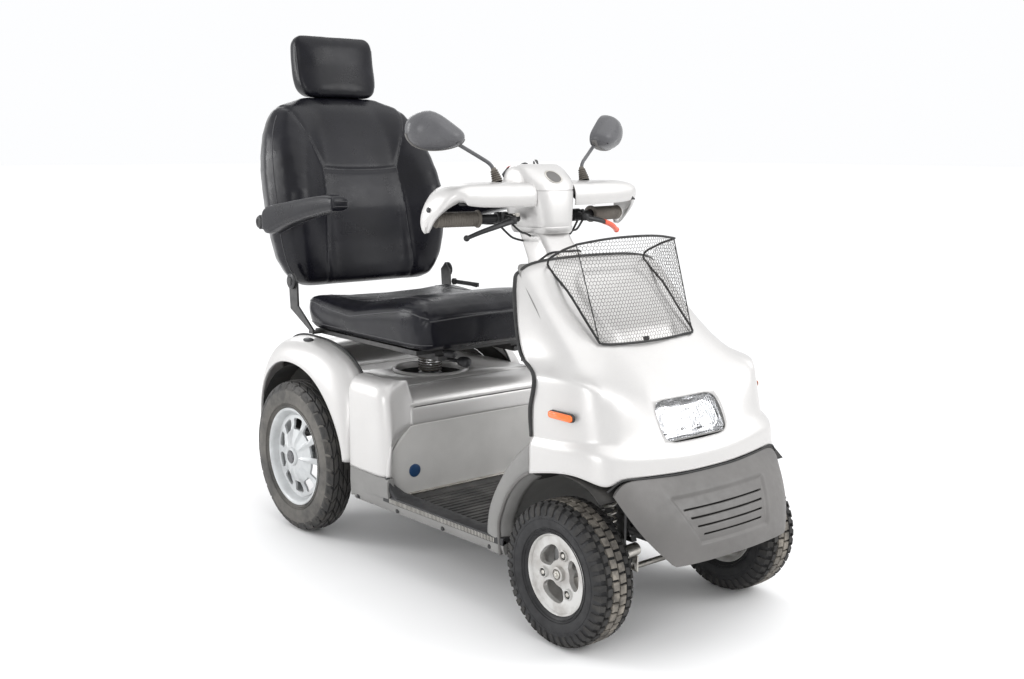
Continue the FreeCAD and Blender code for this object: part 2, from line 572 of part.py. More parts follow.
def controls():
    """Dial, key and horn button on the sloped dashboard face."""
    out = vec(0, 0.614, 0.789)
    middle = vec(0, -114, 994)
    dial = middle + out * GAP
    part("speed_dial", [rod(dial, dial + out * 15, 17)])
    key = middle + vec(46, 0, 0) + out * GAP
    bow = rod(key + out * 10, key + out * 30, 9).common(box(43.5, 48.5, -200, 0, 900, 1100))
    part("ignition_key", [rod(key, key + out * 12, 6).fuse(bow).removeSplitter()])
    horn = middle + vec(-46, 0, 0) + out * 2.6
    part("horn_button", [rod(horn, horn + out * 7, 9)])


def mirrors():
    foot = Part.makeCylinder(12, 16, vec(139, -179, 968.4))
    boot = foot.fuse(rod(vec(139, -179, 976), vec(141, -164, 1003), 12))
    stem = rod(vec(141, -164, 1000), vec(232, -124, 1066), 5)
    toe = math.radians(24)
    along = vec(math.cos(toe), math.sin(toe), 0)
    across = vec(-math.sin(toe), math.cos(toe), 0)
    centre = vec(270, -112, 1088)
    half_w, half_h = 70.0, 46.0
    rim_points = []
    for k in range(16):
        a = 2 * math.pi * k / 16
        rim_points.append((half_w * math.copysign(abs(math.cos(a)) ** 0.7, math.cos(a)),
                           half_h * math.copysign(abs(math.sin(a)) ** 0.8, math.sin(a))))

    def section(scale, depth):
        return [tuple(centre + along * (u * scale) + vec(0, 0, w * scale) - across * depth)
                for u, w in rim_points]

    head = loft(section(1.0, -12), section(0.97, 6), section(0.72, 28), section(0.35, 40))
    pieces = joined([head, stem, boot])
    part("mirror_L", pieces)
    part("mirror_R", [mirrored(p) for p in pieces])


# ---------------------------------------------------------------- seat
def seat():
    tube = Part.makeCylinder(25, 150, vec(0, POST_Y, 340))
    gaiter = Part.makeCylinder(30, 45, vec(0, POST_Y, 441))
    head = Part.makeCylinder(62, 10, vec(0, POST_Y, 486))
    part("seat_post", [tube.fuse([gaiter, head]).removeSplitter()])

    table = Part.makeCylinder(80, 12, vec(0, POST_Y, 496 + GAP))
    rails = both([box(112, 140, 60, 470, 508, 520)])
    ties = [box(-112, 112, y, y + 30, 508, 514) for y in (160, POST_Y - 15, 410)]
    part("swivel_base", [table.fuse(rails + ties).removeSplitter()])

    eye = Part.makeCylinder(10, 9, vec(-84, 240, 497))
    handle = rod(vec(-84, 236, 501.5), vec(-68, 60, 501.5), 5)
    knob = rod(vec(-68, 60, 502.6), vec(-63, 5, 502.6), 8)
    part("swivel_lever", [eye.fuse([handle, knob]).removeSplitter()])
    slide_hub = rod(vec(-158, 21, 541), vec(-142, 21, 541), 6)
    slide_bar = rod(vec(-150, 18, 541), vec(-150, -24, 538), 4)
    part("slide_lever", [slide_hub.fuse(slide_bar).removeSplitter()])

    pan = box(-230, 230, 30, 520, 537, 548)
    runners = both([box(108, 144, 70, 470, 520 + GAP, 537)])
    hinge_y, hinge_z = BACK_HINGE_Y, BACK_HINGE_Z
    hinge_line = [(470, 540), (590, 600), (hinge_y + 22, hinge_z), (hinge_y, hinge_z + 22),
                  (hinge_y - 22, hinge_z), (550, 610), (470, 552)]
    plates = both([side_prism(hinge_line, 262, 268)])
    links = both([box(229, 263, 472, 500, 540, 547)])
    hinge_pins = both([rod(vec(268, hinge_y, hinge_z), vec(280, hinge_y, hinge_z), PIN_R)])
    part("seat_frame", [pan.fuse(runners + plates + links + hinge_pins).removeSplitter()])

    cushion_line = [(CUSHION_FRONT, 566), (CUSHION_FRONT + 14, CUSHION_Z), (CUSHION_REAR, CUSHION_Z),
                    (CUSHION_REAR, 632), (380, 636), (150, 654), (10, 664), (CUSHION_FRONT + 2, 640)]
    cushion = side_prism(cushion_line, -CUSHION_X, CUSHION_X)
    part("seat_cushion", [cushion])

    back_line = [(572, 652), (598, 790), (606, 900), (640, 1000), (700, 1165), (730, 1190), (790, 1180),
                 (HALF_LENGTH - 14, 1110), (752, 980), (706, 846), (690, 700), (664, 652)]
    outline = [(-216, 652), (-264, 740), (-272, 912), (-250, 1080), (-206, 1180), (-150, 1192), (150, 1192),
               (206, 1180), (250, 1080), (272, 912), (264, 740), (216, 652)]
    back = side_prism(back_line, -275, 275).common(front_prism(outline, 500, 850))
    eyes = both([side_prism([(560, 664), (600, 664), (640, 700), (640, 760), (560, 700)], 269, 277)])
    eye_discs = both([rod(vec(269, hinge_y, hinge_z), vec(277, hinge_y, hinge_z), 27)])
    bore = both([rod(vec(260, hinge_y, hinge_z), vec(290, hinge_y, hinge_z), PIN_R + RUN)])
    ties = both([box(240, 276, 624, 640, 712, 752)])
    frame = eyes[0].fuse([eye_discs[0]]).cut(bore[0])
    arm_pins = both([rod(vec(250, ARMREST_Y, ARMREST_Z), vec(330, ARMREST_Y, ARMREST_Z), PIN_R)])
    whole = back.fuse([frame, mirrored(frame)] + ties + arm_pins).removeSplitter()
    part("backrest", [whole])

    recline_hub = rod(vec(283, 560, 640), vec(291, 560, 640), 10)
    part("recline_lever", [recline_hub.fuse(box(284, 290, 440, 560, 634, 646)).removeSplitter()])

    lean = math.atan2(60, 165)
    slide = vec(0, math.sin(lean), math.cos(lean))
    rest_line = [(712, 1198), (742, 1290), (752, 1350), (764, 1371), (790, 1374), (808, 1360),
                 (HALF_LENGTH, 1300), (806, 1222), (794, 1198)]
    rest = side_prism(rest_line, -128, 128)
    posts = both([rod(vec(62, 764, 1210), vec(62, 764, 1210) - slide * 60, 6)])
    part("headrest", [rest.fuse(posts).removeSplitter()])
    sockets = both([rod(vec(62, 764, 1210) - slide * 80, vec(62, 764, 1210) + slide * 20, 6 + RUN)])
    for socket in sockets:
        whole = whole.cut(socket)
    part("backrest", [whole])

    arm_line = [(236, 900), (242, 926), (300, 928), (560, 892), (ARMREST_Y, 878), (ARMREST_Y + 24, 850),
                (ARMREST_Y + 10, 818), (ARMREST_Y - 30, 812), (560, 826), (300, 884), (250, 886)]
    arm = side_prism(arm_line, ARM_X - 26, ARM_X + 26)
    pivot = vec(ARM_X, ARMREST_Y, ARMREST_Z)
    arm = arm.cut(rod(pivot - vec(40, 0, 0), pivot + vec(12.5, 0, 0), PIN_R + RUN))
    part("armrest_L", [arm])
    part("armrest_R", [mirrored(arm)])


# ---------------------------------------------------------------- build
def main():
    os.makedirs("parts", exist_ok=True)
    wheels()
    front_suspension()
    main_frame()
    rear_axle()
    floor_and_sills()
    seat_base()
    rear_body()
    front_body()
    front_bumper()
    basket()
    tiller()
    mirrors()
    seat()
    whole = Part.makeCompound(list(PARTS.values()))
    print("nodes", len(PARTS), "box", whole.BoundBox)
    for name, shape in PARTS.items():
        if not shape.Solids or not shape.isValid():
            print("check", name, len(shape.Solids), shape.isValid())
        shape.exportStep(f"parts/{name}.step")


main()
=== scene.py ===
"""Looks of the mobility scooter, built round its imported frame.

Frame: +Z up, forward is -Y, the rider's right hand is -X. Shapes are gathered in millimetres
and turned into metres when the piece is made.
"""

import math

import bmesh
import bpy
from mathutils import Matrix, Vector
from mathutils.bvhtree import BVHTree


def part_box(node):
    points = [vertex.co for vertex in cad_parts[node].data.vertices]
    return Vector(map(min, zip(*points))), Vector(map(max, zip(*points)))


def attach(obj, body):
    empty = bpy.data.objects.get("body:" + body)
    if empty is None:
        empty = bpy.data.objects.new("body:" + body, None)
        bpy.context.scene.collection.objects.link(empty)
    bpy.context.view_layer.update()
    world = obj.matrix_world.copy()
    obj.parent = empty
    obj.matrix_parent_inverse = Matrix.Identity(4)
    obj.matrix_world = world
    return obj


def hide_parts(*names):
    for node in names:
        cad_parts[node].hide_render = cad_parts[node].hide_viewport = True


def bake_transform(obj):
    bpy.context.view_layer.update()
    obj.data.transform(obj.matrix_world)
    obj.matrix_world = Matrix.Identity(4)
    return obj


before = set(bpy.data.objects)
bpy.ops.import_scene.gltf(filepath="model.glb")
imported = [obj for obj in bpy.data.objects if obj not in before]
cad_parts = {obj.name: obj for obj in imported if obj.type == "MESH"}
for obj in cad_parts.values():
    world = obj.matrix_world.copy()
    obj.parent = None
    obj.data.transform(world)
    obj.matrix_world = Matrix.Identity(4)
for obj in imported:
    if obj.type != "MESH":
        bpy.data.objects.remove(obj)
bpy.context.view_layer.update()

MM = 0.001
RIGHT, LEFT = -1, 1
SIDES = ((RIGHT, "R"), (LEFT, "L"))


# ---------------------------------------------------------------- driving sizes, from the frame
def low_high(node):
    """Lowest and highest corner of a CAD node, in millimetres."""
    low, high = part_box(node)
    return low / MM, high / MM


def wheel_facts(node):
    low, high = low_high(node)
    middle = (low + high) / 2
    return {"x": abs(middle.x), "y": middle.y, "z": middle.z, "r": (high.z - low.z) / 2,
            "half": (high.x - low.x) / 2}


FRONT = wheel_facts("front_tyre_L")
REAR = wheel_facts("rear_tyre_L")
WALL_Y = low_high("seat_base")[0].y
BASE_TOP = 438.0
POST_Y = (low_high("seat_post")[0].y + low_high("seat_post")[1].y) / 2
RAKE = math.atan(0.6)
TILT = Vector((0, -435, 430))


def steer_point(s, forward=0.0, x=0.0):
    """Point s above the tilt pivot along the raked steering axis, stepped forward square to it."""
    return Vector((x, TILT.y + s * math.sin(RAKE) - forward * math.cos(RAKE),
                   TILT.z + s * math.cos(RAKE) + forward * math.sin(RAKE)))


# ---------------------------------------------------------------- mesh helpers
def mix(a, b, t):
    return a + (b - a) * t


def smoothstep(x):
    x = min(1.0, max(0.0, x))
    return x * x * (3 - 2 * x)


def arc(centre, radius, start, end, steps):
    """Points (u, v) on an arc, angles in degrees."""
    turn = [math.radians(mix(start, end, i / steps)) for i in range(steps + 1)]
    return [(centre[0] + radius * math.cos(a), centre[1] + radius * math.sin(a)) for a in turn]


def curve_through(points, steps=6):
    """Smooth line (Catmull-Rom) through the points."""
    points = [Vector(p) for p in points]
    padded = [points[0] * 2 - points[1]] + points + [points[-1] * 2 - points[-2]]
    line = []
    for i in range(1, len(padded) - 2):
        a, b, c, d = padded[i - 1:i + 3]
        for k in range(steps):
            t = k / steps
            line.append(0.5 * (2 * b + (c - a) * t + (2 * a - 5 * b + 4 * c - d) * t * t
                               + (3 * b - a - 3 * c + d) * t * t * t))
    return line + [points[-1]]


def rounded_box_line(half_w, half_h, radius, steps=4):
    """Closed outline (u, v) of a rectangle with round corners, centred on the origin."""
    line = []
    for sx, sy, start in ((1, 1, 0), (-1, 1, 90), (-1, -1, 180), (1, -1, 270)):
        line += arc((sx * (half_w - radius), sy * (half_h - radius)), radius, start, start + 90, steps)
    return line


def super_ring(half_x, y_front, y_back, z, power=4.0, count=32):
    """Closed level ring with squarish corners."""
    ring = []
    mid, half = (y_front + y_back) / 2, (y_back - y_front) / 2
    for i in range(count):
        a = 2 * math.pi * i / count
        c, s = math.cos(a), math.sin(a)
        ring.append((half_x * math.copysign(abs(c) ** (2 / power), c),
                     mid + half * math.copysign(abs(s) ** (2 / power), s), z))
    return ring


class Shape:
    """Points and faces of one piece, in millimetres."""

    def __init__(self):
        self.points = []
        self.faces = []

    def add(self, points, faces):
        start = len(self.points)
        self.points += [Vector(p) for p in points]
        self.faces += [[start + i for i in face] for face in faces]
        return self

    def grid(self, rows, around=False, ends=False):
        """Quads between rows of points; around closes every row, ends caps the first and last."""
        n = len(rows[0])
        faces = []
        for r in range(len(rows) - 1):
            for c in range(n if around else n - 1):
                d = (c + 1) % n
                faces.append([r * n + c, r * n + d, (r + 1) * n + d, (r + 1) * n + c])
        if ends:
            last = (len(rows) - 1) * n
            faces += [list(range(n))[::-1], [last + i for i in range(n)]]
        return self.add([p for row in rows for p in row], faces)

    def box(self, low, high):
        corners = [(x, y, z) for x in (low[0], high[0]) for y in (low[1], high[1])
                   for z in (low[2], high[2])]
        return self.add(corners, [[0, 1, 3, 2], [4, 6, 7, 5], [0, 4, 5, 1], [2, 3, 7, 6],
                                  [0, 2, 6, 4], [1, 5, 7, 3]])

    def prism(self, outline, axis, low, high):
        """Closed outline, (y, z), (x, z) or (x, y), pushed out along axis from low to high."""
        place = {"X": lambda u, v, w: (w, u, v), "Y": lambda u, v, w: (u, w, v),
                 "Z": lambda u, v, w: (u, v, w)}[axis]
        rows = [[place(u, v, w) for u, v in outline] for w in (low, high)]
        return self.grid(rows, around=True, ends=True)

    def turned(self, profile, centre, axis=(1, 0, 0), steps=48, closed=True):
        """Profile (along, radius) turned about the axis through centre; closed joins its two ends."""
        axis = Vector(axis).normalized()
        side = axis.orthogonal().normalized()
        up = axis.cross(side)
        rows = []
        for i in range(steps):
            a = 2 * math.pi * i / steps
            out = side * math.cos(a) + up * math.sin(a)
            rows.append([Vector(centre) + axis * along + out * radius for along, radius in profile])
        n = len(profile)
        faces = []
        for r in range(steps):
            q = (r + 1) % steps
            for c in range(n if closed else n - 1):
                d = (c + 1) % n
                faces.append([r * n + c, r * n + d, q * n + d, q * n + c])
        return self.add([p for row in rows for p in row], faces)

    def tube(self, path, radius, sides=10, closed=False, flat=1.0):
        """Round bar along path; radius is a number or one per point; flat squeezes it across."""
        path = [Vector(p) for p in path]
        n = len(path)
        radii = radius if isinstance(radius, list) else [radius] * n
        rows = []
        normal = None
        for i, p in enumerate(path):
            before = path[(i - 1) % n] if closed or i else p
            after = path[(i + 1) % n] if closed or i < n - 1 else p
            tangent = (after - before).normalized()
            if normal is None:
                normal = tangent.orthogonal().normalized()
            normal = (normal - tangent * normal.dot(tangent)).normalized()
            across = tangent.cross(normal)
            rows.append([p + normal * (radii[i] * math.cos(a)) + across * (radii[i] * flat * math.sin(a))
                         for a in (2 * math.pi * k / sides for k in range(sides))])
        if closed:
            rows.append(rows[0])
        return self.grid(rows, around=True, ends=not closed)

    def rod(self, start, end, radius, end_radius=None, sides=20, round_edge=0.0):
        """Straight bar between two points, with its rims eased by round_edge."""
        start, end = Vector(start), Vector(end)
        end_radius = radius if end_radius is None else end_radius
        along = (end - start).normalized()
        if round_edge:
            e = round_edge
            path = [start, start + along * e, end - along * e, end]
            radii = [radius - e, radius, end_radius, end_radius - e]
            return self.tube(path, radii, sides)
        return self.tube([start, end], [radius, end_radius], sides)

    def mirrored(self):
        """Adds the mirror image across the middle plane."""
        points = [Vector((-p.x, p.y, p.z)) for p in self.points]
        return self.add(points, [face[::-1] for face in list(self.faces)])

    def flipped(self, side):
        """Keeps the shape for the left side, and mirrors it for the right."""
        if side == RIGHT:
            self.points = [Vector((-p.x, p.y, p.z)) for p in self.points]
            self.faces = [face[::-1] for face in self.faces]
        return self

    def make(self, name, look, body="chassis", slot=None, smooth=35, thick=0.0, offset=-1.0, subdivide=0,
             bevel=0.0, creases=None, weld=False, replaces=(), fix_normals=True):
        """Turns the shape into an object with its look and modifiers, riding on its body."""
        mesh = bpy.data.meshes.new(name)
        mesh.from_pydata([p * MM for p in self.points], [], self.faces)
        mesh.update()
        obj = bpy.data.objects.new(name, mesh)
        bpy.context.scene.collection.objects.link(obj)
        work = bmesh.new()
        work.from_mesh(mesh)
        if weld:
            bmesh.ops.remove_doubles(work, verts=work.verts, dist=0.02 * MM)
        if fix_normals:
            bmesh.ops.recalc_face_normals(work, faces=work.faces)
        if creases:
            layer = work.edges.layers.float.new("crease_edge")
            for edge in work.edges:
                edge[layer] = creases(*(v.co / MM for v in edge.verts))
        work.to_mesh(mesh)
        work.free()
        mesh.materials.append(LOOK[look])
        mesh.shade_smooth()
        if smooth < 180 and not subdivide:
            mesh.set_sharp_from_angle(angle=math.radians(smooth))
        if bevel:
            step = obj.modifiers.new("edges", "BEVEL")
            step.width = bevel * MM
            step.segments = 2
            step.limit_method = "ANGLE"
            step.angle_limit = math.radians(40)
            step.harden_normals = True
        if subdivide:
            step = obj.modifiers.new("rounding", "SUBSURF")
            step.levels = step.render_levels = subdivide
        if thick:
            step = obj.modifiers.new("wall", "SOLIDIFY")
            step.thickness = thick * MM
            step.offset = offset
        return dress(obj, body, replaces)


def dress(obj, body, replaces=()):
    """Puts a finished object on its body and the CAD nodes it stands for."""
    if isinstance(body, str):
        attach(obj, body)
    if replaces:
        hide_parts(*replaces)
    return obj


def apply_modifiers(obj):
    """Turns an object's modifiers into its mesh."""
    graph = bpy.context.evaluated_depsgraph_get()
    mesh = bpy.data.meshes.new_from_object(obj.evaluated_get(graph))
    obj.modifiers.clear()
    obj.data = mesh
    return obj


def cut_out(obj, shape):
    """Takes the shape's volume out of obj."""
    cutter = shape.make("cutter", "grey", None)
    step = obj.modifiers.new("cut", "BOOLEAN")
    step.operation = "DIFFERENCE"
    step.solver = "EXACT"
    step.object = cutter
    apply_modifiers(obj)
    bpy.data.objects.remove(cutter)
    return obj


def move_points(obj, shift):
    """Moves each vertex by shift(point in mm, normal), which gives millimetres."""
    normals = [v.normal.copy() for v in obj.data.vertices]
    for vertex, normal in zip(obj.data.vertices, normals):
        vertex.co += shift(vertex.co / MM, normal) * MM
    obj.data.update()
    return obj


def skin_tree(obj):
    """Search tree over an object's mesh, in millimetres."""
    mesh = obj.data
    return BVHTree.FromPolygons([v.co / MM for v in mesh.vertices],
                                [tuple(p.vertices) for p in mesh.polygons])


def onto(tree, point, direction, lift=0.0):
    """Where a ray from point along direction meets the skin, lifted back along the ray."""
    direction = Vector(direction).normalized()
    hit = tree.ray_cast(Vector(point), direction)[0]
    if hit is None:
        hit = tree.find_nearest(Vector(point))[0]
    return hit - direction * lift


# ---------------------------------------------------------------- materials
class Surface:
    """One node material on the Principled shader, with helpers for its textures."""

    def __init__(self, name, **sockets):
        self.material = bpy.data.materials.new(name)
        self.material.use_nodes = True
        self.tree = self.material.node_tree
        self.shader = self.tree.nodes["Principled BSDF"]
        self.place = self.tree.nodes.new("ShaderNodeTexCoord").outputs["Object"]
        self.height = None
        for socket, value in sockets.items():
            self.shader.inputs[socket.replace("_", " ")].default_value = value

    def node(self, kind, inputs=None, **settings):
        made = self.tree.nodes.new("ShaderNode" + kind)
        for key, value in settings.items():
            setattr(made, key, value)
        for key, value in (inputs or {}).items():
            if isinstance(value, bpy.types.NodeSocket):
                self.tree.links.new(value, made.inputs[key])
            else:
                made.inputs[key].default_value = value
        return made

    def noise(self, scale, detail=4.0, roughness=0.55, stretch=(1, 1, 1)):
        place = self.place
        if stretch != (1, 1, 1):
            place = self.node("Mapping", {"Vector": place, "Scale": stretch}).outputs[0]
        return self.node("TexNoise", {"Vector": place, "Scale": scale, "Detail": detail,
                                      "Roughness": roughness}).outputs["Fac"]

    def cells(self, scale, feature="F1"):
        return self.node("TexVoronoi", {"Vector": self.place, "Scale": scale},
                         feature=feature).outputs["Distance"]

    def ramp(self, factor, *stops):
        """Colour ramp; each stop is (position, grey or (r, g, b))."""
        made = self.node("ValToRGB", {"Fac": factor})
        marks = made.color_ramp.elements
        while len(marks) < len(stops):
            marks.new(0.5)
        for mark, (position, value) in zip(marks, stops):
            colour = (value,) * 3 if isinstance(value, float) else value
            mark.position = position
            mark.color = (*colour, 1.0)
        return made.outputs["Color"]

    def blend(self, factor, a, b, how="MIX"):
        made = self.node("Mix", data_type="RGBA", blend_type=how)
        for index, value in ((0, factor), (6, a), (7, b)):
            if isinstance(value, bpy.types.NodeSocket):
                self.tree.links.new(value, made.inputs[index])
            else:
                made.inputs[index].default_value = (*value, 1.0) if isinstance(value, tuple) else value
        return made.outputs[2]

    def colour(self, socket):
        self.tree.links.new(socket, self.shader.inputs["Base Color"])
        return self

    def rough(self, socket):
        self.tree.links.new(socket, self.shader.inputs["Roughness"])
        return self

    def bump(self, height, strength, distance_mm):
        """Adds a bump on top of those already there."""
        inputs = {"Height": height, "Strength": strength, "Distance": distance_mm * MM}
        if self.height is not None:
            inputs["Normal"] = self.height
        self.height = self.node("Bump", inputs).outputs["Normal"]
        self.tree.links.new(self.height, self.shader.inputs["Normal"])
        return self


def silver_paint():
    """Silver metallic lacquer with fine flake and faint dust."""
    s = Surface("silver_paint", Metallic=0.45, Roughness=0.34, Coat_Weight=0.4, Coat_Roughness=0.12)
    flake = s.ramp(s.noise(2600, 1.0), (0.35, (0.52, 0.51, 0.50)), (0.65, (0.64, 0.63, 0.62)))
    cloud = s.ramp(s.noise(3.5, 5.0), (0.35, (0.95, 0.95, 0.95)), (0.7, (1.0, 1.0, 1.0)))
    s.colour(s.blend(1.0, flake, cloud, "MULTIPLY"))
    s.rough(s.ramp(s.noise(60, 6.0), (0.3, 0.34), (0.7, 0.44)))
    return s.bump(s.noise(900, 2.0), 0.05, 0.2).material


def light_grey_plastic(name="light_grey_plastic", level=0.18):
    """Pale moulded plastic of the sills, flares and seat-base wall, with a fine grain; level sets its
    brightness, and the wall's raised level paints light into its colour.
    """
    s = Surface(name, Roughness=0.5, Specular_IOR_Level=0.45)
    low = (level, level * 0.985, level * 0.955)
    high = tuple(c * 1.2 for c in low)
    s.colour(s.ramp(s.noise(8, 6.0), (0.3, low), (0.7, high)))
    s.rough(s.ramp(s.noise(40, 5.0), (0.3, 0.42), (0.7, 0.58)))
    return s.bump(s.cells(900), 0.12, 0.3).material


def grey_plastic():
    """Mid-grey leather-grained plastic of the bumper, the arch lips and the rear valance."""
    s = Surface("grey_plastic", Roughness=0.52, Specular_IOR_Level=0.5)
    s.colour(s.ramp(s.noise(7, 6.0), (0.3, (0.100, 0.096, 0.092)), (0.7, (0.135, 0.129, 0.124))))
    s.rough(s.ramp(s.noise(55, 5.0), (0.3, 0.42), (0.7, 0.60)))
    return s.bump(s.cells(650), 0.35, 0.35).material


def black_plastic(name="black_plastic", gloss=0.42, tint=(0.018, 0.018, 0.019), spread=1.9):
    s = Surface(name, Roughness=gloss, Specular_IOR_Level=0.35)
    lighter = tuple(c * spread for c in tint)
    s.colour(s.ramp(s.noise(30, 5.0), (0.35, tint), (0.75, lighter)))
    s.rough(s.ramp(s.noise(70, 4.0), (0.3, gloss - 0.07), (0.7, gloss + 0.1)))
    return s.bump(s.noise(700, 3.0), 0.12, 0.25).material


def dark_liner():
    """Rough black inner wheel housings with road dust."""
    s = Surface("dark_liner", Roughness=0.85)
    s.colour(s.ramp(s.noise(14, 8.0), (0.35, (0.012, 0.012, 0.012)), (0.75, (0.05, 0.047, 0.043))))
    return s.bump(s.noise(160, 4.0), 0.3, 0.6).material


def mat_rubber():
    s = Surface("mat_rubber", Roughness=0.72)
    dust = s.ramp(s.noise(11, 8.0), (0.4, (0.045, 0.044, 0.043)), (0.75, (0.12, 0.115, 0.11)))
    s.colour(dust)
    return s.bump(s.cells(420), 0.35, 0.4).material


def tyre_rubber(name="tyre_rubber", dust_share=0.34, dust_tint=(0.10, 0.094, 0.084), gloss=0.6):
    """Tread rubber, greyed with dry dust; dust_share says how much of it is covered."""
    s = Surface(name, Roughness=0.8, Specular_IOR_Level=0.28)
    clean = s.ramp(s.noise(45, 6.0), (0.3, (0.012, 0.012, 0.013)), (0.7, (0.026, 0.026, 0.027)))
    dust = s.ramp(s.noise(24, 9.0, 0.65), (0.44, dust_share * 0.3), (0.66, dust_share))
    s.colour(s.blend(dust, clean, dust_tint))
    s.rough(s.ramp(s.noise(30, 6.0), (0.3, gloss), (0.7, gloss + 0.25)))
    return s.bump(s.noise(300, 6.0), 0.25, 0.5).material


def sidewall_rubber():
    """Dusty grey sidewalls."""
    s = Surface("sidewall_rubber", Roughness=0.75)
    clean = s.ramp(s.noise(40, 6.0), (0.3, (0.03, 0.03, 0.03)), (0.7, (0.055, 0.053, 0.05)))
    dust = s.ramp(s.noise(9, 9.0, 0.7), (0.4, 0.15), (0.62, 0.75))
    s.colour(s.blend(dust, clean, (0.155, 0.145, 0.13)))
    return s.bump(s.noise(220, 6.0), 0.25, 0.5).material


def rim_paint():
    """Pale silver-white wheel paint with a little brake dust."""
    s = Surface("rim_paint", Metallic=0.1, Roughness=0.34, Coat_Weight=0.25, Coat_Roughness=0.2)
    s.colour(s.ramp(s.noise(16, 8.0), (0.34, (0.40, 0.41, 0.415)), (0.6, (0.53, 0.545, 0.55))))
    s.rough(s.ramp(s.noise(50, 6.0), (0.3, 0.3), (0.7, 0.46)))
    return s.bump(s.noise(420, 4.0), 0.08, 0.3).material


def wheel_alloy():
    """Satin silver cast wheel, a little stained."""
    s = Surface("wheel_alloy", Metallic=0.35, Roughness=0.36, Coat_Weight=0.2, Coat_Roughness=0.2)
    stain = s.ramp(s.noise(22, 8.0), (0.36, (0.42, 0.405, 0.385)), (0.58, (0.60, 0.595, 0.58)))
    s.colour(stain)
    s.rough(s.ramp(s.noise(50, 6.0), (0.3, 0.28), (0.7, 0.5)))
    return s.bump(s.noise(420, 4.0), 0.10, 0.3).material


def zinc_steel():
    s = Surface("zinc_steel", Metallic=1.0, Roughness=0.35)
    s.colour(s.ramp(s.noise(35, 7.0), (0.3, (0.42, 0.40, 0.36)), (0.7, (0.66, 0.64, 0.60))))
    s.rough(s.ramp(s.noise(80, 6.0), (0.3, 0.26), (0.7, 0.52)))
    return s.bump(s.noise(260, 4.0, stretch=(1, 1, 6)), 0.12, 0.3).material


def black_steel():
    """Black powder coat with an orange-peel skin."""
    s = Surface("black_steel", Roughness=0.42, Coat_Weight=0.15, Coat_Roughness=0.3)
    s.colour(s.ramp(s.noise(20, 7.0), (0.35, (0.012, 0.012, 0.013)), (0.75, (0.04, 0.038, 0.036))))
    s.rough(s.ramp(s.noise(60, 5.0), (0.3, 0.34), (0.7, 0.56)))
    return s.bump(s.noise(350, 2.0), 0.25, 0.3).material


def seat_vinyl():
    """Black leathercloth: small pebble grain, slow creases and a soft gloss."""
    s = Surface("seat_vinyl", Roughness=0.32, Specular_IOR_Level=0.22, Coat_Weight=0.03,
                Coat_Roughness=0.12)
    s.colour(s.ramp(s.noise(6, 6.0), (0.3, (0.003, 0.003, 0.005)), (0.75, (0.008, 0.008, 0.012))))
    s.rough(s.ramp(s.noise(18, 7.0), (0.3, 0.24), (0.7, 0.36)))
    s.bump(s.noise(28, 5.0), 0.16, 1.2)
    return s.bump(s.cells(800), 0.22, 0.35).material


def stitch_thread():
    s = Surface("stitch_thread", Roughness=0.6)
    s.colour(s.ramp(s.noise(900, 3.0), (0.3, (0.02, 0.02, 0.022)), (0.7, (0.06, 0.06, 0.065))))
    return s.bump(s.noise(1500, 2.0), 0.4, 0.2).material


def grip_rubber():
    """Taupe rubber, dimpled all over."""
    s = Surface("grip_rubber", Roughness=0.7)
    s.colour(s.ramp(s.noise(30, 6.0), (0.3, (0.10, 0.088, 0.076)), (0.7, (0.155, 0.14, 0.12))))
    return s.bump(s.cells(330), 0.7, 0.8).material


def lamp_lens(name, colour, glow=0.0):
    """Coloured lamp plastic with moulded prisms."""
    s = Surface(name, Roughness=0.16, Coat_Weight=0.6, Coat_Roughness=0.05,
                Transmission_Weight=0.25, IOR=1.49)
    bright = tuple(min(1.0, c * 1.25) for c in colour)
    s.colour(s.ramp(s.cells(170), (0.15, colour), (0.6, bright)))
    if glow:
        s.shader.inputs["Emission Color"].default_value = (*colour, 1.0)
        s.shader.inputs["Emission Strength"].default_value = glow
    return s.bump(s.cells(210), 0.5, 0.8).material


def clear_lens():
    s = Surface("clear_lens", Roughness=0.04, Transmission_Weight=1.0, IOR=1.47)
    s.colour(s.ramp(s.noise(12, 3.0), (0.3, (0.95, 0.96, 0.97)), (0.7, (0.99, 0.99, 1.0))))
    wave = s.node("TexWave", {"Vector": s.place, "Scale": 38.0, "Distortion": 0.4},
                  bands_direction="X").outputs["Fac"]
    return s.bump(wave, 0.25, 1.0).material


def bright_reflector():
    s = Surface("bright_reflector", Metallic=1.0, Roughness=0.16)
    s.colour(s.ramp(s.noise(40, 4.0), (0.3, (0.86, 0.86, 0.87)), (0.7, (0.95, 0.95, 0.95))))
    return s.bump(s.cells(120), 0.25, 0.8).material


def mirror_glass():
    s = Surface("mirror_glass", Metallic=1.0, Roughness=0.03)
    s.colour(s.ramp(s.noise(15, 3.0), (0.3, (0.86, 0.88, 0.90)), (0.7, (0.92, 0.93, 0.94))))
    return s.bump(s.noise(8, 1.0), 0.02, 0.2).material


def orange_sleeve():
    s = Surface("orange_sleeve", Roughness=0.4, Coat_Weight=0.3)
    s.colour(s.ramp(s.noise(50, 5.0), (0.3, (0.72, 0.06, 0.015)), (0.7, (0.88, 0.11, 0.03))))
    return s.bump(s.noise(300, 3.0), 0.12, 0.3).material


def sticker_blue():
    s = Surface("sticker_blue", Roughness=0.3, Coat_Weight=0.4)
    s.colour(s.ramp(s.noise(60, 4.0), (0.3, (0.012, 0.045, 0.12)), (0.7, (0.018, 0.06, 0.15))))
    return s.bump(s.noise(200, 2.0), 0.05, 0.1).material


def studio_floor():
    s = Surface("studio_floor", Roughness=0.72, Specular_IOR_Level=0.25)
    s.colour(s.ramp(s.noise(3, 2.0), (0.3, 0.86), (0.7, 0.88)))
    return s.material


